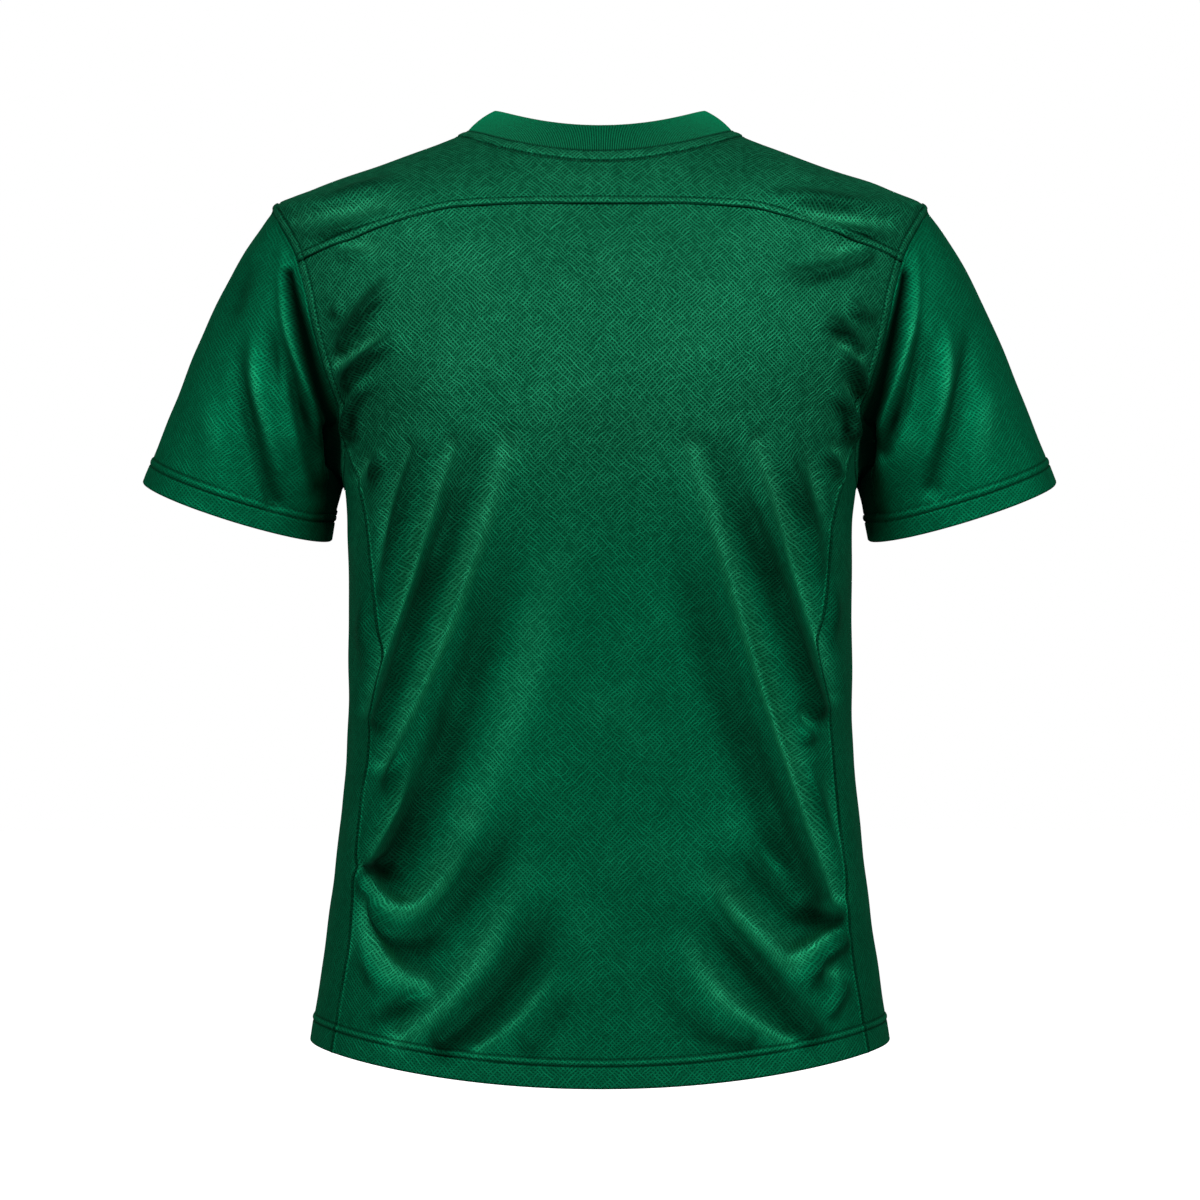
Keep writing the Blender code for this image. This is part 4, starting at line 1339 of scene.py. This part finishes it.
# behind, for the left sleeve and for the right one turned over
sleeveFolds = {
    "left": foldTable(
        (231, -103, 215, -161, 189, -244, 3.4, 8, -4, -8, -10),
        (235, -88, 229, -150, 203, -214, 3.6, 3.4, 1, 4, 3),
        (239, -140, 225, -192, 207, -264, 4, 7, 0, -8, -6),
        (244, -135, 242, -172, 236, -202, 6, 6, 0, -4.5, 0),
        (238, -198, 232, -225, 227, -255, 10, 12, 0, 2.2, 0),
        (258, -135, 254, -188, 240, -248, 4.4, 4.4, 0, 5, 1.5),
        (269, -145, 263, -200, 242, -272, 6, 6.4, 0, -6.5, -6.5),
        (292, -175, 289, -215, 278, -262, 11, 11, 0, 2.2, 1),
        (257, -85, 271, -118, 278, -150, 8, 8, 0, -3.5, 0),
        (195, -225, 194, -255, 201, -285, 8, 10, -8, -9, -6),
    ),
    "right": foldTable(
        (226.5, -104, 213, -163, 189, -244, 3.4, 8, -4, -8, -10),
        (235, -90, 228, -150, 202, -224, 3.6, 3.4, 1, 4, 3),
        (240, -126, 230, -182, 208, -236, 4, 6, 0, -8, -5),
        (245, -140, 241, -180, 233, -206, 6, 6, 0, -4.5, 0),
        (234, -208, 229, -230, 224, -255, 10, 12, 0, 2.2, 0),
        (256, -128, 256, -183, 243, -238, 4.4, 4.4, 0, 4.5, 1),
        (276, -125, 268, -188, 246, -262, 6, 6.4, 0, -6.5, -5.5),
        (288, -170, 287, -213, 276, -258, 11, 11, 0, 2.8, 1),
        (195, -225, 195, -250, 201, -282, 8, 10, -8, -9, -6),
    ),
}


def sleeveFrame():
    # the cuff's middle, its outward and backward half-axes, and the way that the sleeve points
    size = sleeveSize
    outer = np.array((size["cuffOuter"][0], size["forward"], size["cuffOuter"][1]))
    inner = np.array((size["cuffInner"][0], size["forward"], size["cuffInner"][1]))
    outward = (outer - inner) / 2
    down = unit(np.array((outward[2], 0, -outward[0])))
    along = unit(down + np.array((0, -size["swing"], 0)))
    backward = unit(np.array((0, 1, 0)) - along[1] * along)
    return (outer + inner) / 2, outward, backward * size["halfDepth"], along


def sleeveTurns(loop):
    # each armhole point's turn round the sleeve, 0 on top and 180 under the arm, by its share of the edge
    count = len(loop)
    run = np.concatenate(([0], np.cumsum(np.linalg.norm(np.diff(closed(loop), axis=0), axis=1))))
    under = int(np.argmin(loop[:, 2]))
    first = 180 * run[: under + 1] / run[under]
    second = 180 + 180 * (run[under + 1 : count] - run[under]) / (run[-1] - run[under])
    return np.concatenate((first, second))


def sleeveMap(grid, turn, side, middle, alongArm):
    # the knit's own sizes: round the sleeve by its turn and up it along the arm, tilted as the sleeve hangs
    across = side * np.append(turn, 360.0) / 360 * sleeveSize["girth"]
    up = -(grid - middle) @ alongArm
    up = np.concatenate((up, up[:, :1]), axis=1)
    tilt = side * math.atan2(alongArm[0], -alongArm[2])
    cosine, sine = math.cos(tilt), math.sin(tilt)
    return np.stack((across * cosine + up * sine, up * cosine - across * sine), axis=-1)


def sleeveGrid(name, side, rows):
    # cubic curves that leave the armhole over the cap and reach the cuff along the arm
    size = sleeveSize
    over = np.array((side, 1, 1))
    loop = armholeLoop(side, armholeLevels(size["around"])) * over
    turn = sleeveTurns(loop)
    middle, outward, backward, alongArm = sleeveFrame()
    cosine = np.cos(np.radians(turn))[:, None]
    sine = np.sin(np.radians(turn))[:, None]
    cuff = middle + outward * cosine + backward * sine
    reach = np.linalg.norm(cuff - loop, axis=1)[:, None]
    radial = unit(outward) * cosine + unit(backward) * sine
    leave = unit(alongArm + size["capSpread"] * (1 + cosine) / 2 * radial) * reach * size["capPull"]
    arrive = unit(alongArm + size["cuffSpread"] * radial) * reach
    t = rows[:, None, None]
    grid = (
        loop * (1 + 2 * t) * (1 - t) ** 2
        + leave * t * (1 - t) ** 2
        + cuff * t * t * (3 - 2 * t)
        + arrive * t * t * (t - 1)
    )
    fade = sine[:, 0] / foldSize["sleeveFade"]
    mirrored = "right" if name == "left" else "left"
    folds = np.clip(fade, 0, 1) * foldHeight(grid, sleeveFolds[name])
    folds += np.clip(-fade, 0, 1) * foldHeight(grid, sleeveFolds[mirrored])
    folds = folds * ramp(rows * size["length"] / foldSize["sleeveStart"])[:, None]
    # painted shade where the sleeve folds in deep beside the armhole and under the arm
    paintedShades = np.clip(1 + fade, 0, 1) * foldHeight(grid, sleeveShade[name])
    uv = sleeveMap(grid, turn, side, middle, alongArm)
    return (grid + radial * folds[..., None]) * over, uv, folds, paintedShades


def armholeNormals(side, levelsUp):
    # the smooth body's normals at the armhole loop's points
    loop = []
    for behind in (True, False):
        angle = armholeAngle(levelsUp[::-1], behind)
        ways = ringNormal(side * (angle if behind else 180 - angle), levelsUp[::-1])
        loop.append(ways if behind else ways[::-1][1:-1])
    return np.concatenate(loop)


def addSleeve(name, side):
    size = sleeveSize
    spots = [(0, size["seamZone"], size["seamFine"]), (size["length"], size["cuffZone"], size["cuffFine"])]
    rows = ladder(size["length"], size["coarse"], spots) / size["length"]
    grid, uv, folds, paintedShades = (part[:, ::-side] for part in sleeveGrid(name, side, rows))
    seam = f"armhole_{name}"
    away = gaps(grid, seam)[seam]
    fromCuff, share = nearest(grid, closed(grid[-1]), seamReach)
    height = turnUp(fromCuff, **relief["cuff"]) + welt(away, "sleeveWelt")
    height += undulation(grid, "sleeve") * ramp(away / size["rippleEase"])
    bodyWays = armholeNormals(side, armholeLevels(size["around"]))[None, ::-side]
    grid = grid + bodyWays * tuck(away)[..., None]
    marks = [(away, 0)] + hemMarks(fromCuff, "cuff")
    # rows go from the cuff up and columns from left to right, seen from outside
    parts = (grid, uv, height, shadeOf(marks), folds, paintedShades, fromCuff, share)
    grid, uv, height, seamShade, folds, paintedShades, fromCuff, share = (part[::-1][:, ::-1] for part in parts)
    shades = {
        "seamShade": seamShade,
        # painted light and shade: the folds' painted tone, with each sleeve's painted lightening
        "foldShade": foldShade(folds) + knitLook["sleeveLight"][name],
        "paintedShade": paintedShades,
        "hatchAndHighlight": np.full(paintedShades.shape, knitLook["sleeveHatch"]),
    }
    whole = np.concatenate((grid, grid[:, :1]), axis=1)
    flat = cutOf(whole, size["girth"], runLength(whole, 0)[-1].max(), turnedUp)
    grid = grid + gridNormals(grid, True) * height[..., None]
    pieceName = f"sleeve_{name}_cloth"
    piece = clothPiece(pieceName, f"sleeve_{name}", grid, uv, shades, True)
    sheets[pieceName] = {"piece": piece, "flat": flat, "held": "hung"}
    normals = gridNormals(grid, True)
    for place in ("lower", "upper"):
        addStitches(f"cuff_stitches_{name}", grid, normals, fromCuff, share, relief["cuff"][place])


collarSize = {
    "lean": {"back": 0.0110, "side": 0.0206, "front": 0.0150},
    "rise": {"back": 0.0215, "side": 0.0167, "front": 0.0195},
    "crown": 0.0016,
    "thickness": 0.0026,
    "ribDepth": 0.00030,
    "perRib": 6,
    "climbSteps": 9,
    "foldSteps": 5,
    "under": 0.0018,
}


def byPlace(values, angle):
    # a size given behind, at the sides and in front, mixed by the squared cosine of the angle
    square = np.cos(np.radians(angle)) ** 2
    ends = np.where(np.cos(np.radians(angle)) >= 0, values["back"], values["front"])
    return ends * square + values["side"] * (1 - square)


def collarSection():
    # up the outside, over a round fold and down the inside: how high each place is, as a share of the
    # collar's height and a length more, and how far it is from the middle of the cloth
    size = collarSize
    half = size["thickness"] / 2
    climb = np.linspace(0, 1, size["climbSteps"])
    fold = np.linspace(0, math.pi, size["foldSteps"] + 2)[1:-1]
    share = np.concatenate((climb, np.ones(len(fold)), climb[::-1]))
    side = np.concatenate((np.ones(len(climb)), np.cos(fold), -np.ones(len(climb))))
    extra = half * np.sqrt(np.clip(1 - side**2, 0, 1)) - size["under"] * (1 - share)
    return share, extra, half * side


def addCollar():
    # that section, carried round the neck and waved by the ribs
    size = collarSize
    ring = seams["neck"]
    run = runLength(ring, 0)
    ribs = round(run[-1] / ribLook["pitch"])
    count = ribs * size["perRib"]
    places = np.arange(count) * run[-1] / count
    angle = np.interp(places, run, np.linspace(180, -180, len(ring)))
    seam = np.stack([np.interp(places, run, ring[:, k]) for k in range(3)], axis=1)
    inward = unit(np.stack((-seam[:, 0], -seam[:, 1], 0 * angle), axis=1))
    up = inward * byPlace(size["lean"], angle)[:, None]
    up[:, 2] += byPlace(size["rise"], angle)
    out = -unit(np.cross(up, np.cross(inward, up)))
    tall = np.linalg.norm(up, axis=1)
    half = size["thickness"] / 2
    share, extra, aside = collarSection()
    rise = share[:, None] * (tall - half)[None, :] + extra[:, None]
    bulge = size["crown"] * 4 * share * (1 - share)
    rib = np.cos(2 * math.pi * np.arange(count) / size["perRib"])
    outward = (aside - half + bulge)[:, None] + (aside / half * size["ribDepth"])[:, None] * rib[None, :]
    grid = seam[None] + unit(up)[None] * rise[..., None] + out[None] * outward[..., None]
    whole = np.concatenate((grid, grid[:, :1]), axis=1)
    u = np.broadcast_to(np.arange(count + 1) * (ribLook["pitch"] / size["perRib"]), whole.shape[:2])
    uv = np.stack((u, runLength(whole, 0)), axis=-1)
    quads = gridQuads(len(grid), count, True, True)
    uvIndex = gridQuads(len(grid), count + 1, False, True)
    piece = makeMesh("rib_collar", grid.reshape(-1, 3), quads, uv.reshape(-1, 2)[uvIndex])
    piece.data.materials.append(materials["rib"])
    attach(piece, "root")
    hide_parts("collar")
    # what stands of it; it is cut twice as tall and folded lengthwise
    height = float(tall.mean() + size["under"])
    sheets["rib_collar"] = {"piece": piece, "flat": (run[-1], height, run[-1] * height), "held": "stretched"}
    print("collar ribs:", ribs)


bodyLengths = measureBody()
addBack()
print("back panel made")
addYoke()
print("yoke made")
addFront()
print("front panel made")
for sideName, sideSign in sides.items():
    addSidePanel(sideName, sideSign)
    addSleeve(sideName, sideSign)
    print(sideName, "side panel and sleeve made")
addCollar()
stitches = makeStitches()
print("stitches made:", {name: len(piece.data.polygons) for name, piece in stitches.items()})


# each sheet's flat width, length and area
for pieceName, sheet in sheets.items():
    width, length, area = sheet["flat"]
    float(min(area, width * length))
    print(f"{pieceName}: {width:.3f} x {length:.3f} m, {area:.4f} m2")


studio = {
    "cameraPlace": (0.0, 3.2, -0.345),
    "lens": 128.0,
    "floorDrop": 0.30,
    "ambient": 0.07,
}
lights = {
    "key": {"place": (0.0, 2.9, 1.4), "size": (1.6, 1.0), "power": 77},
    "left": {"place": (2.0, 2.2, 0.9), "size": (1.0, 1.6), "power": 42},
    "right": {"place": (-2.0, 2.2, 0.9), "size": (1.0, 1.6), "power": 47},
    "front": {"place": (0.0, -3.2, 0.2), "size": (1.6, 1.2), "power": 150},
}


def aim(thing, target):
    way = np.array(target) - np.array(thing.location)
    tilt = math.atan2(math.hypot(way[0], way[1]), -way[2])
    thing.rotation_euler = (tilt, 0, math.atan2(-way[0], way[1]))


def addLights():
    for name, light in lights.items():
        lamp = bpy.data.lights.new(name, "AREA")
        lamp.shape = "RECTANGLE"
        lamp.size, lamp.size_y = light["size"]
        lamp.energy = light["power"]
        thing = bpy.data.objects.new(name, lamp)
        thing.location = light["place"]
        aim(thing, (0, 0, -0.32))
        thing.visible_glossy = name != "front"  # no bright rim round the back
        bpy.context.scene.collection.objects.link(thing)


def addWorld():
    # white to the camera, and a dim even light to everything else
    world = bpy.data.worlds.new("studio")
    world.use_nodes = True
    bpy.context.scene.world = world
    tree = world.node_tree
    wire = Wire(tree)
    tree.nodes.clear()
    path = wire.node("ShaderNodeLightPath", output="Is Camera Ray")
    dim = wire.node("ShaderNodeBackground", None, {"Color": (1, 1, 1, 1), "Strength": studio["ambient"]})
    white = wire.node("ShaderNodeBackground", None, {"Color": (1, 1, 1, 1), "Strength": 1.0})
    both = wire.node("ShaderNodeMixShader", None, {0: path, 1: dim, 2: white})
    out = tree.nodes.new("ShaderNodeOutputWorld")
    tree.links.new(both.socket, out.inputs["Surface"])


def addFloor():
    bpy.ops.mesh.primitive_circle_add(vertices=96, radius=9, fill_type="NGON")
    floor = bpy.context.object
    floor.name = "floor"
    floor.location.z = cadBox[0][2] - studio["floorDrop"]
    material, shader, _ = newMaterial("pale_floor")
    shader.inputs["Base Color"].default_value = (0.1, 0.1, 0.1, 1)
    shader.inputs["Roughness"].default_value = 0.9
    shader.inputs["Emission Color"].default_value = (1, 1, 1, 1)
    shader.inputs["Emission Strength"].default_value = 1.0
    floor.data.materials.append(material)
    floor.visible_diffuse = False
    floor.visible_glossy = False


def addCamera():
    lens = bpy.data.cameras.new("camera")
    lens.lens = studio["lens"]
    lens.sensor_width = 36
    camera = bpy.data.objects.new("camera", lens)
    camera.location = studio["cameraPlace"]
    camera.rotation_euler = (math.pi / 2, 0, math.pi)
    bpy.context.scene.collection.objects.link(camera)
    bpy.context.scene.camera = camera


addLights()
addWorld()
addFloor()
addCamera()
bpy.context.scene.view_settings.view_transform = "Standard"
print("studio made")
